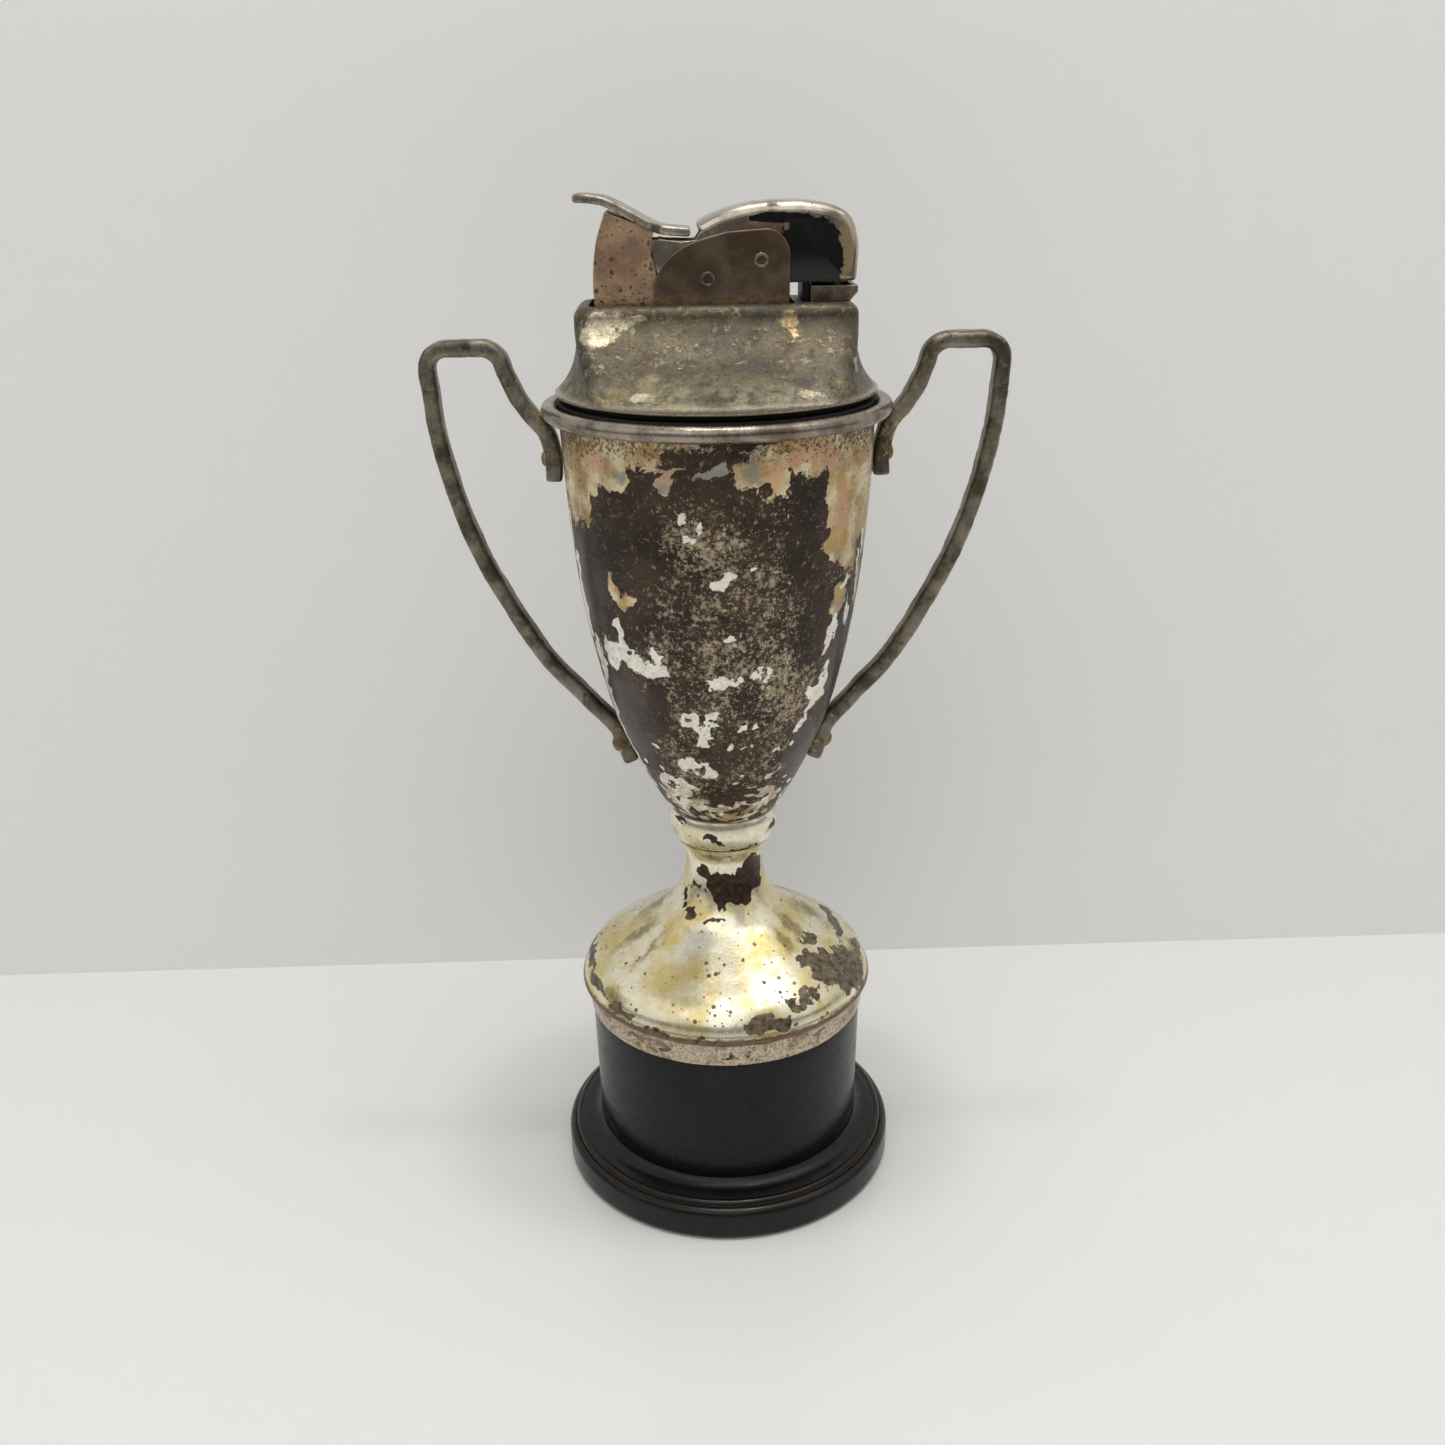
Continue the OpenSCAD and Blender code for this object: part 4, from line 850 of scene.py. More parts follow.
def make_bowl():
    bead = arc(RIM, BEAD_R, -160, 130, 28)
    outline = np.concatenate([
        resample([(BOLT_HOLE_R, 60.95), (6.15, 60.95)], 2), resample(BOWL_CURVE, 0.45),
        bead, [(22.3, 125.2), (21.75, 124.6)],
        [q for q in resample(inside(BOWL_CURVE, WALL), 1.5) if q[1] > 61.9],
        [(5.75, 61.75), (BOLT_HOLE_R, 61.75)],
    ])
    bowl = turned("cup_bowl", outline, 330, 50, uneven(0.035, 14, 5))
    skin = Skin(bowl)
    wander = skin.angle + np.degrees((skin.ragged - skin.p)[:, 0] / 22)
    edge = band_edge(wander)
    band = (skin.z + (skin.ragged - skin.p)[:, 2] * 0.8 - edge) / 2.2
    gold = np.maximum(band, skin.patches([
        (-22, 119.7, 3.4, 0.45, 8), (-18.1, 118.9, 0.7, 1.1), (-21.6, 118, 1.1, 0.6),
        (-19.2, 117.4, 0.8, 0.7, 20), (-4, 119.3, 2.2, 0.6, 18), (-1, 120.1, 1.5, 0.6),
        (9, 119.2, 1.9, 2.2), (42.5, 107.9, 1.6, 1.1, 10), (52.5, 105.2, 1.3, 1.1),
        (-38, 117.9, 1.8, 1.5), (-52, 116.8, 1.6, 1.6), (-57, 113, 1.2, 2.6, 8),
        (-47, 102.6, 0.75, 2.4, 14), (-39.5, 100.9, 1.35, 1.2), (-43, 99.9, 1.4, 0.45, -20),
        (52, 99, 1.5, 3.2, -6), (60, 112, 5.5, 9), (-68, 116, 4, 6), (70, 101, 1.2, 3.5),
        (150, 84, 3, 6, 10), (128, 98, 2.2, 3.6, -20), (-150, 101, 1.8, 4.4, 12), (-120, 76, 2.2, 5, -14),
    ]))
    gold = np.minimum(gold, -skin.patches([
        (66, 104.8, 1.6, 3.2), (-25, 119.2, 0.9, 0.9), (14, 117, 1, 0.8), (5, 123.2, 5.5, 0.8),
    ]))
    boot = [(-50, 92.3, 4.4, 1.9, 4), (-46.5, 95.6, 0.95, 2.8), (-57, 91, 2, 1.8),
            (-37.5, 91.1, 3.2, 1.3, -16), (-30, 91.2, 1.9, 1.3), (-28, 93.4, 0.7, 1.4, 20)]
    centre = [(0.5, 104.6, 1.6, 0.9, 20), (4, 105.4, 0.8, 0.5, 30), (11, 106.4, 0.6, 0.35),
              (-2, 89.1, 1.7, 1.3), (4, 89.6, 0.9, 0.7), (16.5, 90.5, 1.35, 1.2),
              (-17, 83.2, 1.5, 1.2), (-12, 81.3, 1.9, 0.9, -32), (-6.5, 82.5, 1.5, 0.5),
              (-5, 83.9, 0.6, 1, -20), (-11.5, 79.6, 0.5, 1.3, 20), (3, 79, 0.9, 0.7),
              (-18, 75.2, 2, 1.5, 20), (-11, 74.5, 1.9, 1.6), (-24, 75, 1, 0.8),
              (8, 81.5, 0.55, 0.5), (9, 78.2, 0.7, 0.3, 20), (2, 96.5, 0.8, 0.6),
              (-9, 112.3, 0.6, 1, 10), (-12, 110.5, 0.9, 0.6), (-15.8, 113.9, 0.35, 0.8, 20),
              (12.8, 81.9, 0.6, 0.5), (2.3, 78.8, 0.8, 0.7), (14.2, 78.9, 0.6, 0.45),
              (9.9, 72.8, 0.55, 0.4)]
    right = [(50, 94.6, 1.2, 2.6, -14), (47, 92.2, 0.6, 1.4, -20), (56, 101.5, 1.3, 0.8, 30),
             (51.5, 88.6, 0.7, 1.4, -30), (48, 85.2, 2.4, 1.4, -20), (52, 86.8, 0.9, 1.3),
             (45.5, 83.4, 0.9, 1.5, -20), (41.5, 80.8, 0.7, 1.7, -30), (29, 77.4, 0.9, 0.35, -40),
             (30.5, 72.4, 1.4, 0.35, 24), (34, 69.2, 1.9, 0.8, 14), (24, 76.3, 0.5, 0.3)]
    bottom = [(-42, 71.5, 2.2, 1, -30), (-36, 69.2, 2.6, 1.3, -20), (-26, 67.6, 2.4, 1, -20),
              (-14, 66.2, 2.4, 0.7, -10), (-26, 71, 2.4, 0.8, -24), (26, 65.6, 2.6, 0.9, 20),
              (40, 67.5, 1.8, 1, 24), (2, 64.2, 2.2, 0.35), (-45, 66.8, 1.8, 1.6, -20)]
    sides = [(-73, 103, 1.2, 2.4), (-75.5, 97, 1.3, 5.5), (-69, 90, 1.5, 3.5), (-72, 82, 1.2, 6),
             (-70, 74, 1, 5), (-78, 108, 0.8, 5), (80, 96, 1.4, 8),
             (78, 84, 1.1, 9), (66, 103.5, 0.6, 2.4, 10), (61, 97, 0.5, 3.4, 8), (70, 106, 0.6, 1.8)]
    behind = []
    for _ in range(34):
        low = rng.random() ** 1.4
        behind.append((95 + 170 * rng.random(), 65 + 46 * low, 0.5 + 2.0 * rng.random() ** 2,
                       0.5 + 1.6 * rng.random() ** 2, 60 * rng.random() - 30))
    white = skin.patches(boot + centre + right + bottom + sides + behind, [
        (4.5, 88.9, 0.55, 0.5), (16.8, 90.4, 0.6, 0.55), (-14.2, 74.4, 0.9, 0.9),
        (-17, 83.3, 0.5, 0.4), (-30.5, 92.4, 0.5, 0.9, 10), (-41, 92.9, 0.5, 0.4)])
    scraps = (waves(skin.p, 2.0, 91) - 1.05) * 0.8 + ease((74 - skin.z) / 9) * 0.85 - 0.3
    white = np.maximum(white, np.where(skin.z < 78, scraps, -PAINT_LIMIT))
    turn = np.abs((skin.angle + 180) % 360 - 180)
    mottle = ease((62 - turn) / 40) * ease((119 - skin.z) / 9) * ease((skin.z - 62) / 6)
    shade = skin.patches([(-34, 108, 6.5, 9), (-44, 99, 5, 6), (33, 108, 4.5, 8.5), (38, 96, 3.5, 6),
                          (-2, 118.5, 9, 2), (-34, 84, 2.5, 6, -10), (8, 69, 5, 3)])
    bright = skin.patches([(-11, 109, 4, 4.5, 30), (2, 111, 4, 2.5), (-2, 95, 5, 4), (16, 102, 4, 4),
                           (2, 85, 6, 5), (26, 90, 6, 6), (42, 92, 4, 8), (34, 80, 4, 5)])
    mottle = np.clip(0.8 * mottle - 0.8 * ease(shade * 1.6 + 0.3) + 0.4 * ease(bright + 0.2) + 0.12, 0, 1.3)
    mottle = np.maximum(mottle, 0.8 * ease((turn - 120) / 30) * ease((118 - skin.z) / 12))
    slick = skin.patches([
        (-56, 81, 5.5, 8, -14), (-60, 103, 4, 9, -4), (52, 75, 4, 6.5, 20), (58, 92, 2.6, 8),
        (115, 90, 7, 16, 6), (-135, 88, 8, 13, -6), (170, 74, 6, 6)])
    skin.paint("ash", skin.patches([(9.3, 118.7, 1.9, 2.3), (-4, 119.4, 2.8, 1.2, 10),
                                    (-37, 118.4, 1.4, 1)]))
    skin.paint("blush", skin.patches([(17.5, 118.4, 2.2, 2.8), (30, 121, 5, 1.7), (48, 113, 2, 6),
                                      (-50, 119.5, 3, 2), (140, 119, 6, 3)]))
    skin.paint("gold", gold)
    skin.paint("white", white)
    skin.paint("mottle", mottle)
    skin.paint("slick", slick * 0.8)
    low_rust = 0.6 * ease((turn - 38) / 30) * ease((skin.z - 104) / 8)
    skin.paint("rust", 1.15 * ease((skin.z - 117.5) / 5.5) + low_rust)
    # The third metal colours the inside of the mouth black: painted shade in the gap under the collar.
    metals = [bowl_patina(), old_nickel("bead_nickel", "a0968a", "6e6254", 0.0, 0.3, 0.2), shared(soot)]
    stand_for(bowl, "bowl", "trophy", metals[0], "bowl_patina", *metals[1:])
    for face in bowl.data.polygons:
        face.material_index = bowl_metal(face.center / MM)


def bowl_metal(at):
    """Which of the bowl's metals a face has: 0 tarnish, 1 nickel on the bead, 2 black in the mouth, painted
    shade under the collar.
    """
    bead_low, bead_inner = RIM[1] - BEAD_R + 0.02, RIM[0] - BEAD_R + 0.25
    mouth_low, wall_top, wall_inner = 118, 124.2, 21.8
    bead_foot_r, all_bead_z = 22.5, 124.4
    r = math.hypot(at.x, at.y)
    if at.z > mouth_low and r < (wall_inner if at.z < wall_top else bead_inner):
        return 2
    return int(at.z > bead_low and r > bead_foot_r or at.z > all_bead_z)


def make_foot():
    outline = np.concatenate([
        resample(FOOT_BAND, 0.35), resample(FOOT_CURVE, 0.4), [(BOLT_HOLE_R, 57.6), (BOLT_HOLE_R, 56.8)],
        [q for q in resample(inside(FOOT_CURVE, WALL), 1.5) if q[1] < 56.8], [(22.2, 33.6), (21.7, 31.2)],
    ])
    foot = turned("cup_foot", outline, 330, 60, uneven(0.04, 16, 8))
    skin = Skin(foot)
    dark = skin.patches([
        (9, 51.4, 4, 2.1), (10, 50, 2.7, 1.7), (-6, 49.5, 1.5, 1.9), (26, 49.9, 1.7, 1.7),
        (44, 53.3, 2.6, 2.6, 10), (37, 51.4, 2.4, 2), (-18, 52.2, 2, 1.3), (-32, 52.7, 2, 1),
        (-40, 46.8, 0.9, 1.3), (-62, 49, 0.6, 1.6, 30), (-12, 46.4, 1.3, 0.45), (-17, 46.1, 1, 0.5),
        (-52, 47.2, 0.5, 0.6), (-28, 50, 0.4, 0.5), (-46, 50.6, 0.5, 0.4), (56, 38.9, 4.2, 3.4),
        (68, 37.4, 3.9, 3.9), (60, 36.4, 3.2, 1.7), (49, 40.4, 2, 1.8), (62, 41.6, 1.8, 1.4),
        (39, 37.4, 1.1, 1.2), (32, 36.8, 1, 1), (13, 35.9, 2.7, 1.5), (21, 35.5, 2, 1),
        (27, 37.2, 0.9, 1.1), (34, 38, 1.2, 1.2), (-66, 35.7, 3.8, 0.9), (-47, 34.9, 3.2, 0.9),
        (-30, 34.1, 2.6, 0.55), (-40, 31.2, 2.2, 0.6), (-27, 30.4, 1.4, 0.5), (0, 30.5, 1.6, 0.45),
        (-60, 32.2, 2.4, 0.7), (38, 31.5, 1.6, 0.4), (-8, 34.2, 4, 0.3),
        (100, 39.5, 6.5, 1.2), (84, 37.2, 2.6, 1.2), (-90, 36.6, 6.5, 1), (150, 38.4, 4.5, 2.2),
        (-150, 40.5, 3, 2.4), (-125, 35.2, 5, 0.9), (175, 50.5, 1.6, 2.4), (128, 35.4, 4, 0.9)])
    stain = skin.patches([
        (-74, 42.2, 2.2, 8), (-54, 41.5, 1.4, 6), (60, 43.6, 2.2, 6), (44, 43, 1.2, 4),
        (95, 42, 4, 6), (80, 37.6, 5, 4), (-100, 44, 3.5, 8), (130, 43, 4, 7), (-150, 44, 4, 7),
        (180, 42, 3, 7),
        (-52, 36.4, 4, 2), (0, 56.2, 9, 1.2)])
    skin.paint("dark", dark)
    skin.paint("stain", stain)
    skin.paint("band", np.clip((FOOT_BAND_TOP - skin.z) / 0.35, -1, 1))
    skin.paint("ridge", 1.2 - np.abs(skin.z - FOOT_RIDGE_Z) / 0.75)
    stand_for(foot, "foot_stem", "trophy", plated("plated_foot", "dcc98a", "f3eed9"), "plated_foot")


def make_neck_ring():
    seat = (BOWL_CURVE - 0.05 * normals_left(BOWL_CURVE))[::-1]
    side = curve([(7.1, 57.63), (7.65, 58), (8.2, 59.4), (8.47, 60.5), (8.45, 61.6), (8.25, 62.4),
                  (7.98, 62.95)], 8)
    outline = np.concatenate([[(BOLT_HOLE_R, 57.63)], side, [q for q in seat if q[1] < 62.75],
                              [(BOLT_HOLE_R, 60.9)]])
    ring = turned("cup_neck_ring", outline, 300, 40, uneven(0.03, 7, 11))
    skin = Skin(ring)
    skin.paint("dark", skin.patches([
        (-16, 60.4, 1, 0.9), (-9, 59.5, 0.6, 0.5), (20, 58.1, 3, 0.35), (48, 61.4, 0.7, 1.2),
        (62, 60.6, 1.4, 0.8), (-58, 62.2, 1.6, 0.5), (0, 57.7, 6.5, 0.16), (140, 60.2, 1.8, 1.1),
        (-150, 61, 2.4, 0.9)]))
    skin.paint("stain", skin.patches([(55, 60.5, 2.4, 2.2), (-70, 60, 2, 2),
                                      (130, 60, 5, 2), (-140, 60, 5, 2)]))
    skin.paint("band", np.full(len(skin.p), -1.0))
    skin.paint("ridge", 1 - np.abs(skin.z - 62.9) / 0.3)
    stand_for(ring, "neck_ring", "trophy", plated("plated_ring", "ddd3ab", "f6f2e2"), "plated_ring")


# ---- The base ----


def make_base():
    r, foot_z, edge_z, top_z, edge_r, groove_r = 27, 0.35, 5.4, 7.6, 1.2, 25.9
    side = arc((r - edge_r, edge_z - edge_r), edge_r, 0, 78, 10)
    ring = arc((25.1, 5.55), 0.75, 0, 112, 12)
    cove = curve([(23.9, 6.5), (23.0, 6.65), (22.3, 6.95), (21.85, 7.3), (21.6, top_z)], 5)
    outline = np.concatenate([
        [(2.1, 4.6), (5.2, 4.6), (5.2, 1.25), (24.7, 1.25), (24.7, foot_z), (r - 0.5, foot_z)],
        arc((r - 0.5, foot_z + 0.5), 0.5, -90, 0, 5), [(r, 2.4)], side,
        [(groove_r, edge_z - 0.2)], ring, cove, [(2.1, top_z)],
    ])
    base = turned("base_plate_turned", outline, 300, 28)
    metal = black_gloss("base_black", "0a0807", "130f0c", brown=0.6)
    stand_for(base, "base_plate", "trophy", metal, "base_black")
    foot_z, drum_z, spigot_r, spigot_z = 7.63, 28.9, 21.2, 31.5
    lip = arc((21.9 - 0.3, drum_z - 0.3), 0.3, 0, 90, 5)
    outline = np.concatenate([
        [(2.1, foot_z), (5, foot_z), (5, 27.5), (18.2, 27.5), (18.2, foot_z), (21.4, foot_z)],
        resample([(21.4, foot_z), (21.9, drum_z - 0.3)], 2)[1:-1], lip,
        [(spigot_r, drum_z), (spigot_r, spigot_z), (2.1, spigot_z)],
    ])
    drum = turned("base_drum_turned", outline, 300, 40)
    metal = black_gloss("base_blue_black", "07090b", "0f1317", gloss=0.24)
    stand_for(drum, "base_drum", "trophy", metal, "base_blue_black")


# ---- Handles ----

STRAP_T, STRAP_W = 2.3, 3.5
HANDLE_PATH = np.concatenate([
    curve([(13.95, 70.7), (15.2, 73.9), (16.5, 76.7), (20.9, 81.6), (27.2, 89.3), (35.1, 104.5),
           (39.2, 118.8), (40.35, 129.6)], 8),
    arc((37.6, 130.4), 2.8, 0, 90, 9), arc((32.9, 130.1), 3.1, 90, 155, 8),
    curve([(29.6, 129.8), (28.2, 126.6), (26.4, 123.9), (24.4, 121.4), (23.5, 117.9), (23.5, 114.5)], 6),
])
RIVETS = [((22.2, 117.6), 0, 2.48), ((14.1, 74.0), -22.8, 2.35)]


def make_handle(side, name, node):
    path = resample(HANDLE_PATH, 0.35)
    path = path[np.r_[True, np.linalg.norm(np.diff(path, axis=0), axis=1) > 0.05]]
    s = along(path)
    total = s[-1]
    sections = []
    foot_length, round_length = 7, 0.5
    for d in s:
        end = min(d, total - d)
        foot = ease(1 - end / foot_length)
        taper = 1 - math.sqrt(max(0, 1 - (1 - min(end / round_length, 1)) ** 2))
        half_w = STRAP_W / 2 - 0.25 * taper
        half_t = STRAP_T / 2 - 0.25 * taper
        sections.append(rounded_section(half_w, -half_t, half_t, 0.85 - 0.5 * foot, 6))

    def shape(p):
        flat = p.reshape(-1, 3)
        push = 0.05 * waves(flat, 5, 3 + side) + 0.03 * waves(flat, 1.6, 8 + side)
        middle = p.mean(1, keepdims=True)
        out = p - middle
        out /= np.maximum(np.linalg.norm(out, axis=2, keepdims=True), 1e-6)
        p = p + out * push.reshape(p.shape[:2])[..., None]
        return p * (side, 1, 1)

    handle = swept(name, path, sections, shape)
    skin = Skin(handle)
    x = np.abs(skin.p[:, 0])
    feet = np.maximum(ease((skin.z - 111) / 8) * ease((31 - x) / 4), ease((92 - skin.z) / 16))
    skin.paint("gold", feet * 0.75 - 0.8)
    stand_for(handle, node, "trophy", shared(handle_patina), "handle_patina")


def make_rivets():
    dome = np.concatenate([[(0.02, -1.0), (0.8, -1.0), (0.8, 0), (1.2, 0)],
                           arc((0, -0.15), 1.2, 12, 88, 8) * (1, 0.62), [(0.02, 0.62)]])
    parts = []
    for side in (-1, 1):
        for (x, z), tilt, seat in RIVETS:
            p = lathe_points(dome, 40)
            a = math.radians(tilt)
            out = np.array([math.cos(a), 0, math.sin(a)])
            up = np.array([-math.sin(a), 0, math.cos(a)])
            q = np.array([x, 0, z]) + (p[..., 2:] + seat) * out + p[..., :1] * up + p[..., 1:2] * (0, 1, 0)
            parts.append(grid_object("rivet", q * (side, 1, 1), 32))
    rivets = joined("handle_rivet_heads", parts)
    metal = old_nickel("rivet_metal", "9b8358", "5f4a2c", 0.06, 0.2)
    stand_for(rivets, "handle_rivets", "trophy", metal, "rivet_metal")


# ---- The lighter's collar ----

COLLAR_R, COLLAR_X, COLLAR_Y = 22.7, 19.3, 7.6
COLLAR_LOW, COLLAR_TOP, ROLL_R, EDGE_R, CORNER_R = 126.55, 139.0, 0.55, 1.5, 2.2


def rounded_rect(hx, hy, r, k, m):
    """Points round a rectangle with rounded corners: k steps a corner and m points a side."""
    out = []
    for cx, cy, a, sx, sy in ((1, 1, 0, -1, 0), (-1, 1, 90, 0, -1), (-1, -1, 180, 1, 0), (1, -1, 270, 0, 1)):
        corner = arc((cx * (hx - r), cy * (hy - r)), r, a, a + 90, k)
        span = 2 * (hx - r) if sx else 2 * (hy - r)
        run = np.arange(1, m + 1)[:, None] / (m + 1) * span * np.array((sx, sy))
        out += [corner, corner[-1] + run]
    return np.concatenate(out)


def make_collar():
    corner_steps, side_steps = 10, 56

    def ring(hx, hy, t, z):
        q = rounded_rect(hx, hy, min(CORNER_R, hy), corner_steps, side_steps)
        a = np.arctan2(q[:, 1] / hy, q[:, 0] / hx)
        e = 1 - (1 - t) ** 2
        x, y = mix(hx * np.cos(a), q[:, 0], e), mix(hy * np.sin(a), q[:, 1], e)
        return np.stack([x, y, np.full(len(q), z)], 1)

    def half_x(t):
        return mix(COLLAR_R, COLLAR_X, 1 - (1 - t) ** 3.2 * (1 - 0.12 * t))

    def half_y(t):
        return mix(COLLAR_R, COLLAR_Y, 1 - (1 - t) ** 1.5)

    low = COLLAR_LOW + ROLL_R
    rise = COLLAR_TOP - EDGE_R - low
    rings = []
    for a in np.radians(np.arange(140, 391, 15)):
        r = COLLAR_R - ROLL_R + ROLL_R * math.cos(a)
        rings.append(ring(r, r, 0, low + ROLL_R * math.sin(a)))
    levels = np.linspace(0, 1, 44)[1:]
    rings += [ring(half_x(t), half_y(t), t, low + rise * t) for t in levels]
    for a in np.radians(np.arange(9, 91, 9)):
        inset = EDGE_R * (1 - math.cos(a))
        rings.append(ring(COLLAR_X - inset, COLLAR_Y - inset, 1, COLLAR_TOP - EDGE_R + EDGE_R * math.sin(a)))
    slot_x0, slot_x1, slot_y = -17.3, 10.6, 5.9
    hole = rounded_rect((slot_x1 - slot_x0) / 2, slot_y, 0.4, corner_steps, side_steps)
    hole = hole + ((slot_x0 + slot_x1) / 2, 0)
    rings += [np.c_[hole, np.full(len(hole), z)] for z in (COLLAR_TOP, COLLAR_TOP - WALL)]
    inset = EDGE_R - 0.6
    rings.append(ring(COLLAR_X - EDGE_R, COLLAR_Y - inset, 1, COLLAR_TOP - WALL))
    rings += [ring(half_x(t) - WALL, half_y(t) - WALL * 1.15, t, low + rise * t) for t in levels[::-3]]
    p = np.array(rings)
    dents = 0.04 * waves(p.reshape(-1, 3), 11, 21) + 0.012 * waves(p.reshape(-1, 3), 2.5, 22)
    outward = p * (1, 1, 0)
    outward = outward / np.maximum(np.linalg.norm(outward, axis=2, keepdims=True), 1e-6)
    p = p + outward * dents.reshape(p.shape[:2])[..., None]
    collar = grid_object("lighter_collar", p, 38)
    skin = Skin(collar)

    def field(places):
        out = np.full(len(skin.p), -PAINT_LIMIT)
        for x, z, *size in places:
            for side in (-1, 1):
                at = skin.site_xz(x * -side, z, side)
                out = np.maximum(out, skin.patch(at, *size))
        return out

    skin.paint("bright", field([(-16.4, 135.9, 2, 2.4), (-14.8, 137, 3.6, 1.3), (-15.4, 135.6, 2.2, 1.7, 40),
                                (-10, 128.6, 1.5, 0.9, 30), (12.6, 128.3, 2.4, 0.6, -24),
                                (18.4, 131.4, 1.3, 0.8, 20), (-10.5, 137.6, 1, 0.6),
                                (-4.5, 131.6, 0.7, 0.4), (2.5, 132.4, 0.8, 0.5, 30)]))
    skin.paint("gold", field([(10.1, 136.8, 1.5, 1.5), (10.4, 135.2, 0.9, 1), (-15.5, 128.1, 1.2, 0.9)]))
    skin.paint("blue", field([(-2, 128.6, 3.4, 1.9), (10.5, 130.2, 3, 1.9), (1.5, 134.5, 3.2, 2.6),
                              (5, 132, 5, 2), (-17.5, 131.2, 1.8, 2.2)]))
    skin.paint("straw", field([(-9.5, 130.6, 2.8, 1.8, 20), (-13.6, 128.8, 3, 1.6), (16.8, 129.2, 2.6, 1.4),
                               (-6, 127.9, 5, 0.8)]))
    # Painted highlight along the rolled lower edge.
    skin.paint("rim", 0.8 * ease((COLLAR_LOW + 1.5 - skin.z) / 0.7))
    # Painted shade under the roll and on the inside faces, for the gap above the bowl's rim.
    inner_r, roll_low, roll_high = 21.9, COLLAR_LOW + 0.42, COLLAR_LOW + 0.9
    inside_shade = ease((inner_r - skin.r) / 0.2) * (skin.z < roll_high)
    skin.paint("under", ease((roll_low - skin.z) / 0.2) + inside_shade)
    stand_for(collar, "collar", "lighter", collar_metal(), "collar_metal")


# ---- The lighter's mechanism ----

ARM_PIVOT, LEVER_PIVOT = (-1.1, 142.28), (6.09, 144.58)
PLATE_OUT, PLATE_T, BOX_Z = 5.75, 0.7, 133.0
SKIRT_OUT, ARM_OUT, HEAD_OUT = 4.95, 4.35, 4.9
ARM_TOP = [(-2.6, 149.3), (0.6, 150.75), (5.2, 151.8), (10.6, 152.04), (15.4, 151.45), (18.1, 150),
           (19.15, 147.4), (19.3, 145), (19.05, 141.6)]


def make_side_plates():
    back = curve([(-8.3, 139.5), (-8.2, 142), (-6.6, 144.7), (-3.4, 146.85), (1.5, 148.25)], 10)[::-1]
    outline = np.concatenate([[(9.5, BOX_Z + 0.05), (9.9, 139.8)], arc((6.5, 145.15), 3.5, 0, 82, 20), back,
                              [(-8, BOX_Z + 0.05)]])
    metal = plate_metal()
    for side, name in ((-1, "front"), (1, "rear")):
        sheet = plate(f"{name}_plate_sheet", outline, side * (PLATE_OUT - PLATE_T), side * PLATE_OUT, 0.14)
        stand_for(sheet, f"{name}_side_plate", "lighter", metal, "plate_metal")


def make_pins():
    metal = old_nickel("pin_metal", "94897a", "6b6052", 0.0, 0.1, 0.25)
    # Black for painted shade inside the pin bores.
    dark = shared(soot)
    half, bore_r = PLATE_OUT + 0.03 + 0.22, 0.585
    flange = np.concatenate([[(0.01, half - 1.6), (0.58, half - 1.6), (0.58, half - 0.12)],
                             arc((0.7, half - 0.12), 0.12, 180, 90, 4),
                             arc((0.88, half - 0.12), 0.12, 90, 0, 4),
                             [(1.0, half - 0.22), (0.8, half - 0.22)]])
    outline = np.concatenate([flange, (flange * (1, -1))[::-1]])[::-1]
    for (x, z), name in ((ARM_PIVOT, "arm_pin"), (LEVER_PIVOT, "lever_pin")):
        p = lathe_points(outline, 48)
        q = np.stack([p[..., 0] + x, p[..., 2], -p[..., 1] + z], 2)
        pin = grid_object(f"{name}_tube", q, 50)
        stand_for(pin, name, "lighter", metal, "pin_metal", dark)
        # Faces inside the bore take the black: painted shade in the hole.
        for face in pin.data.polygons:
            at = face.center / MM
            face.material_index = int(math.hypot(at.x - x, at.z - z) < bore_r)


def make_wick_shield():
    outline = [(11.75, 139.05), (12.75, 139.05), (12.75, 142.3), (11.75, 142.3)]
    shield = plate("wick_shield_block", outline, -4.2, 4.2, 0.15)
    stand_for(shield, "wick_shield", "lighter", shared(soot), "soot")


def make_thumb_pad():
    path = resample(curve([(-18.8, 153.25), (-16.3, 153.1), (-13.8, 152.45), (-9.2, 150.05), (-7.3, 149.2),
                           (-5.4, 148.9), (-3.25, 148.75)], 10), 0.2)
    s = along(path)
    total = s[-1]
    sections = []
    for d, (x, _) in zip(s, path):
        corner = 1.2
        start = 1 - math.sqrt(max(0, 1 - (1 - min(d / corner, 1)) ** 2))
        half_w = mix(5.5, 3.65, ease((x + 8.6) / 1.7)) - corner * start * 0.7
        thick = mix(1.1, 1.18, ease((x + 14) / 6))
        thin = 0.3 * (1 - min(min(d, total - d) / 0.3, 1)) ** 2
        sections.append(rounded_section(half_w, -thick + thin, -thin, 0.34, 4))
    pad = swept("thumb_pad_plate", path, sections)
    stand_for(pad, "thumb_pad", "thumb_lever", pad_metal(), "pad_metal")


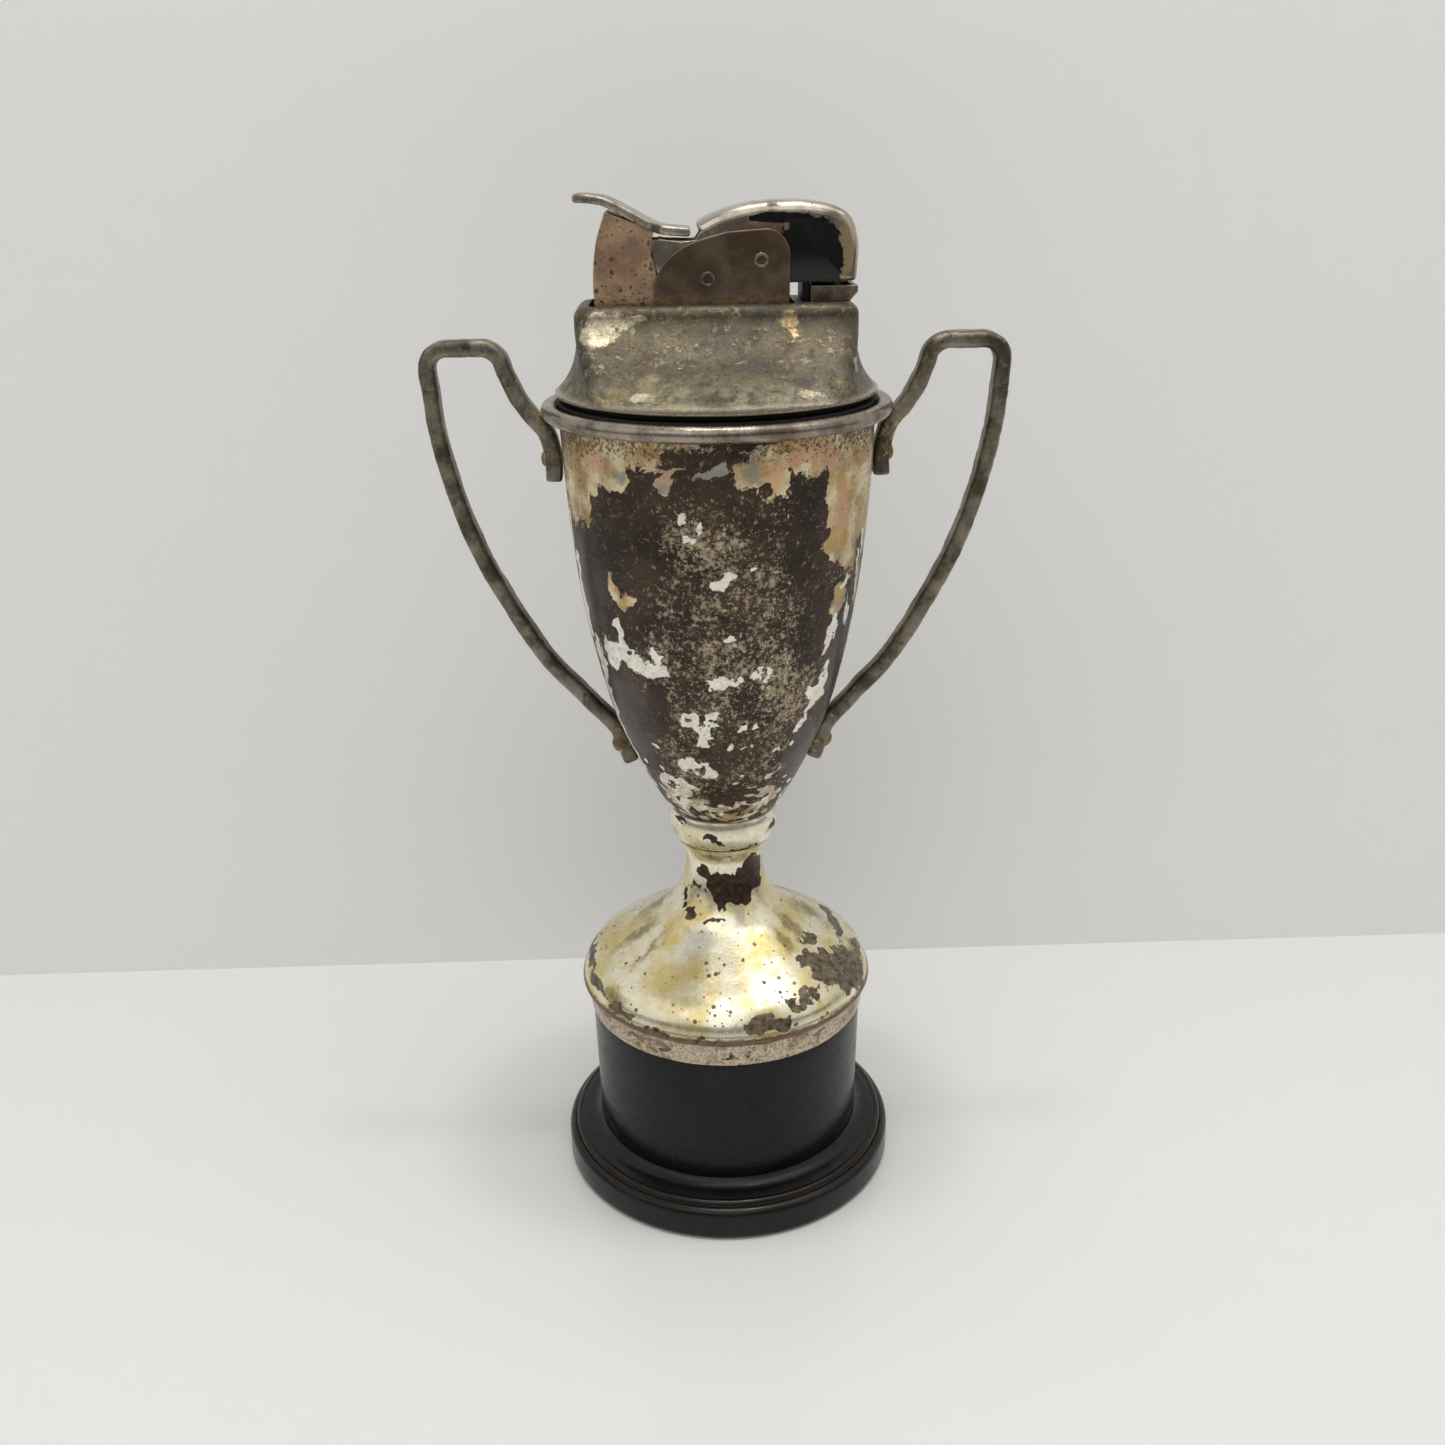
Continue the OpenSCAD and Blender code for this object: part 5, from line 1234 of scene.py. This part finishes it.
def make_thumb_skirt():
    left = curve([(-16.4, 138.6), (-16.5, 142.5), (-15.9, 147.2), (-14.6, 150.95)], 10)
    right = curve([(-8.25, 148.3), (-8.65, 145.8), (-8.0, 143.2), (-7.7, 141), (-7.7, 138.6)], 6)
    wall = np.concatenate([left, [(-10.3, 149.37)], right])
    thick = 0.5
    parts = [plate("w", wall, side * SKIRT_OUT, side * (SKIRT_OUT - thick), 0.12) for side in (-1, 1)]
    roof = [(-14.6, 150.95), (-10.3, 149.35), (-8.35, 148.35), (-8.35, 147.75), (-10.3, 148.8),
            (-14.5, 150.4)]
    parts.append(plate("r", roof, -SKIRT_OUT + 0.1, SKIRT_OUT - 0.1, 0.05))
    end = np.concatenate([left, (left + (thick, 0))[::-1]])
    parts.append(plate("e", end, -SKIRT_OUT + 0.1, SKIRT_OUT - 0.1, 0.05))
    skirt = joined("thumb_skirt_shell", parts)
    stand_for(skirt, "thumb_skirt", "thumb_lever", shared(skirt_metal), "skirt_metal")


def make_snuffer_arm():
    path = resample(curve(ARM_TOP, 12), 0.22)
    s = along(path)
    total = s[-1]
    depth, wall = 2.3, 0.55
    sections = []
    for d, (x, _) in zip(s, path):
        half = mix(ARM_OUT, HEAD_OUT, ease((x - 6.6) / 2.2))
        thin = 0.35 * (1 - min(min(d, total - d) / 0.45, 1)) ** 2
        r = 1.5
        out = arc((half - r, -r), r - thin, 0, 90, 8)
        outer = np.concatenate([[(half - thin, -depth)], out, (out * (-1, 1))[::-1], [(thin - half, -depth)]])
        inn = arc((half - r, -r), r - wall, 90, 0, 8)
        inner = np.concatenate([[(wall - half, -depth)], (inn * (-1, 1))[::-1], inn, [(half - wall, -depth)]])
        sections.append(np.concatenate([outer, inner]))
    strap = swept("s", path, sections)
    tail = [(-7.3, 142.3), (-8.2, 143.4), (-8.5, 144.6), (-8.4, 145.7), (-8.05, 147), (-7.6, 147.4),
            (-4.6, 147), (-2.6, 147.2)]
    boss = arc(ARM_PIVOT, 2.2, 40, -150, 24)
    top = curve(ARM_TOP, 6)
    inset = top - 1.3 * normals_left(top)
    back = [q for q in inset if -2.6 < q[0] < 10.5 and q[1] > 147]
    rear = np.concatenate([back, [(10.4, 146.4), (3, 146.4)], boss, tail])
    nose = inset[inset[:, 0] > 9.2]
    nose = np.concatenate([[(9.2, 150.6)], nose[nose[:, 1] > 141.65], [(17.9, 141.6), (9.3, 141.6)]])
    parts = [strap]
    for side in (-1, 1):
        parts.append(plate("t", rear, side * (ARM_OUT - 0.003), side * (ARM_OUT - wall), 0.1))
        parts.append(plate("n", nose, side * (HEAD_OUT - 0.003), side * (HEAD_OUT - wall), 0.06))
    for side in (-1, 1):
        tab = [(-8.1, 143.9), (-7.1, 143.9), (-7.1, 144.7), (-8.1, 144.7)]
        parts.append(plate("b", tab, side * 3.05, side * 3.85, 0.08))
    arm = joined("snuffer_arm_shell", parts)
    stand_for(arm, "snuffer_arm", "snuffer", arm_chrome(), "arm_chrome")


def make_lever_spring():
    """A coil whose foot stands on the tank cap and whose head reaches the lever."""
    low, high = [corner[2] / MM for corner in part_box("lever_spring")]
    x, r, wire, turns, closing, head_z = -12.3, 1.6, 0.25, 8, 0.6, 146.2
    share = np.linspace(0, 1, turns * 30 + 1)
    angle = 2 * np.pi * turns * share
    rise = share - closing * np.sin(2 * np.pi * share) / (2 * np.pi)
    z = low + wire + (high - low - 2 * wire) * rise
    line = np.stack([x + r * np.cos(angle), r * np.sin(angle), z], 1)
    coil = tube("lever_spring_coil", line, np.full(len(line), wire))
    wear(coil, shared(spring_wire))
    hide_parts("lever_spring")
    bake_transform(coil)


def make_wick():
    """Seven twisted strands of yarn with uneven, charred ends."""
    low, high = [corner[2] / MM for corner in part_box("wick")]
    x, ring, strand_r, pitch, step = 15.2, 1.0, 0.46, 8, 0.3
    strands = []
    for k in range(7):
        top = high - 0.35 * rng.random()
        z = np.arange(low, top, step)
        z = np.append(z, top)
        angle = 2 * np.pi * (z / pitch + k / 6)
        away = ring if k else 0
        line = np.stack([x + away * np.cos(angle), away * np.sin(angle), z], 1)
        tip = np.sqrt(np.clip((top + 0.06 - z) / 0.35, 0.1, 1))
        strands.append(tube("s", line, strand_r * tip * (1 + 0.05 * np.sin(5 * z + k))))
    wick = joined("wick_strands", strands)
    yarn = fibres("wick_yarn", "8f8468", "d9d0b4", 0.22, char_z=high)
    stand_for(wick, "wick", "lighter", yarn, "wick_cotton")


# ---- CAD nodes that keep their shape ----


def finish_cad(material, edge, *names):
    for name in names:
        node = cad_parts[name]
        wear(node, material)
        if edge:
            soften(node, edge, 2, weld=True)


def dress_inner_parts():
    steel = simple_metal("inner_steel", "8a8680", "b9b5ad", 0.3)
    brass = simple_metal("inner_brass", "a9874a", "d0b274", 0.26)
    tin = simple_metal("inner_tin", "a29c8b", "c9c3b0", 0.34, 5)
    finish_cad(steel, 0.15, "tie_bolt", "lower_washer", "upper_washer", "tie_nut", "frame_floor")
    finish_cad(tin, 0.1, "fuel_tank")
    # The grip sleeve and tank cap go black above 122.5 mm: painted shade in the gap between the collar and
    # the bowl's rim.
    shade_topped = simple_metal("shade_topped_tin", "a29c8b", "c9c3b0", 0.34, 5, shade_z=122.5)
    finish_cad(shade_topped, 0.1, "grip_sleeve", "tank_cap")
    finish_cad(brass, 0.08, "flint_tube", "flint_follower", "flint_screw", "filler_screw")
    # The wick tube's brass is coloured near black.
    finish_cad(simple_metal("darkened_brass", "1c1710", "4a3c26", 0.45), 0.08, "wick_tube")
    finish_cad(shared(skirt_metal), 0.06, "lever_link")
    finish_cad(shared(spring_wire), 0, "flint_spring", "arm_spring")
    finish_cad(simple_metal("pawl_steel", "8f8b84", "b5b1a8", 0.26), 0.03, "pawl_leaf", "pawl_rivet")
    finish_cad(simple_metal("wheel_steel", "3a3836", "66625c", 0.36), 0.03, "flint_wheel", "ratchet_wheel")
    finish_cad(simple_metal("flint_alloy", "4a4a4d", "68686b", 0.45), 0.08, "flint")
    finish_cad(old_nickel("cup_metal", "8b7f72", "54483c", 0.05, 0.3, 0.34), 0.18, "wick_cup")
    finish_cad(old_nickel("cap_metal", "6d645a", "2f2923", 0.0, 0.2, 0.36), 0.1, "snuffer_cap")
    finish_cad(fibres("felt_green", "17301f", "35573c", 0.3), 0.25, "felt_pad")
    finish_cad(fibres("cotton_wool", "cfcabb", "f2efe6", 0.5), 0.4, "cotton_packing")
    finish_cad(rubber(), 0.08, "filler_gasket")


# ---- Stage, light and camera ----

FLOOR_HALF = 900
WALL_Y = 60


def stage_material(name, tone, rough, one_sided=False):
    f = Finish(name)
    cloud = f.noise(220, 2, 0.4, 1)
    f.grained(f.vary(cloud, tone, tone), 0.0, cloud, rough, rough + 0.06)
    mat = f.done(bump=0.01, strength=0.2)
    if one_sided:
        tree = mat.node_tree
        out = next(n for n in tree.nodes if n.type == "OUTPUT_MATERIAL")
        shader = out.inputs["Surface"].links[0].from_socket
        clear = f.node("ShaderNodeBsdfTransparent")
        pick = f.node("ShaderNodeMixShader")
        f.put(pick.inputs[0], f.node("ShaderNodeNewGeometry").outputs["Backfacing"])
        f.put(pick.inputs[1], shader)
        f.put(pick.inputs[2], clear.outputs[0])
        f.put(out.inputs["Surface"], pick.outputs[0])
    return mat


def make_stage():
    h, y = FLOOR_HALF, WALL_Y
    floor = [(-h, -h, 0), (h, -h, 0), (h, h, 0), (-h, h, 0)]
    wall = [(-h, y, 0), (h, y, 0), (h, y, h), (-h, y, h)]
    sheets = (("stage_floor", floor, stage_material("floor_white", "e6e6e5", 0.16)),
              ("stage_wall", wall, stage_material("wall_white", "fafaf9", 0.3, one_sided=True)))
    for name, corners, material in sheets:
        sheet = mesh_object(name, corners, [(0, 1, 2, 3)], closed=False)
        wear(sheet, material)


def lamp(name, at, size, watts, tone="ffffff"):
    light = bpy.data.lights.new(name, "AREA")
    light.shape = "DISK"
    light.size = size * MM
    light.energy = watts
    light.color = srgb(tone)[:3]
    obj = bpy.data.objects.new(name, light)
    bpy.context.scene.collection.objects.link(obj)
    obj.location = Vector(at) * MM
    aim = Vector((0, 0, 80)) * MM - obj.location
    obj.rotation_euler = aim.to_track_quat("-Z", "Y").to_euler()


def make_light():
    for side in (-1, 1):
        lamp(f"ceiling_{side}", (12 + 50 * side, -21, 600), 44, 0.35, "fffaf0")
    lamp("soft_top", (150, 0, 700), 620, 1.35)
    lamp("soft_left", (-520, -200, 420), 650, 0.45)
    lamp("soft_right", (520, -160, 420), 650, 0.4)
    lamp("soft_front", (-90, -430, 580), 600, 0.7)
    world = bpy.data.worlds.new("studio")
    bpy.context.scene.world = world
    f = Nodes(world)
    split = f.node("ShaderNodeSeparateXYZ")
    f.put(split.inputs[0], f.node("ShaderNodeTexCoord").outputs["Generated"])
    lit = f.step(split.outputs[2], -0.2, 0.8, 0.09, 0.54)
    seen = f.times(f.node("ShaderNodeLightPath").outputs["Is Camera Ray"], 0.62)
    sky = f.node("ShaderNodeBackground")
    f.put(sky.inputs[0], srgb("f4f3f0"))
    f.put(sky.inputs[1], f.math("MAXIMUM", lit, seen))
    f.put(f.node("ShaderNodeOutputWorld").inputs[0], sky.outputs[0])


def make_camera():
    turn, drop, distance, height, roll = -1.5, 21.43, 224.1, 76.24, -0.903
    aim = Vector((0.08, 0, height))
    a, e = math.radians(turn), math.radians(drop)
    away = Vector((math.sin(a) * math.cos(e), -math.cos(a) * math.cos(e), math.sin(e)))
    data = bpy.data.cameras.new("camera")
    data.sensor_width = 36
    data.lens = 36.22
    data.clip_start = 0.005
    camera = bpy.data.objects.new("camera", data)
    bpy.context.scene.collection.objects.link(camera)
    camera.location = (aim + away * distance) * MM
    look = (-away).to_track_quat("-Z", "Y") @ Quaternion((0, 0, 1), math.radians(roll))
    camera.rotation_euler = look.to_euler()
    bpy.context.scene.camera = camera
    bpy.context.scene.view_settings.view_transform = "Standard"


make_base()
make_foot()
make_neck_ring()
make_bowl()
make_handle(1, "handle_right_strap", "right_handle")
make_handle(-1, "handle_left_strap", "left_handle")
make_rivets()
make_collar()
make_side_plates()
make_pins()
make_wick_shield()
make_thumb_pad()
make_thumb_skirt()
make_snuffer_arm()
make_lever_spring()
make_wick()
dress_inner_parts()
make_stage()
make_light()
make_camera()
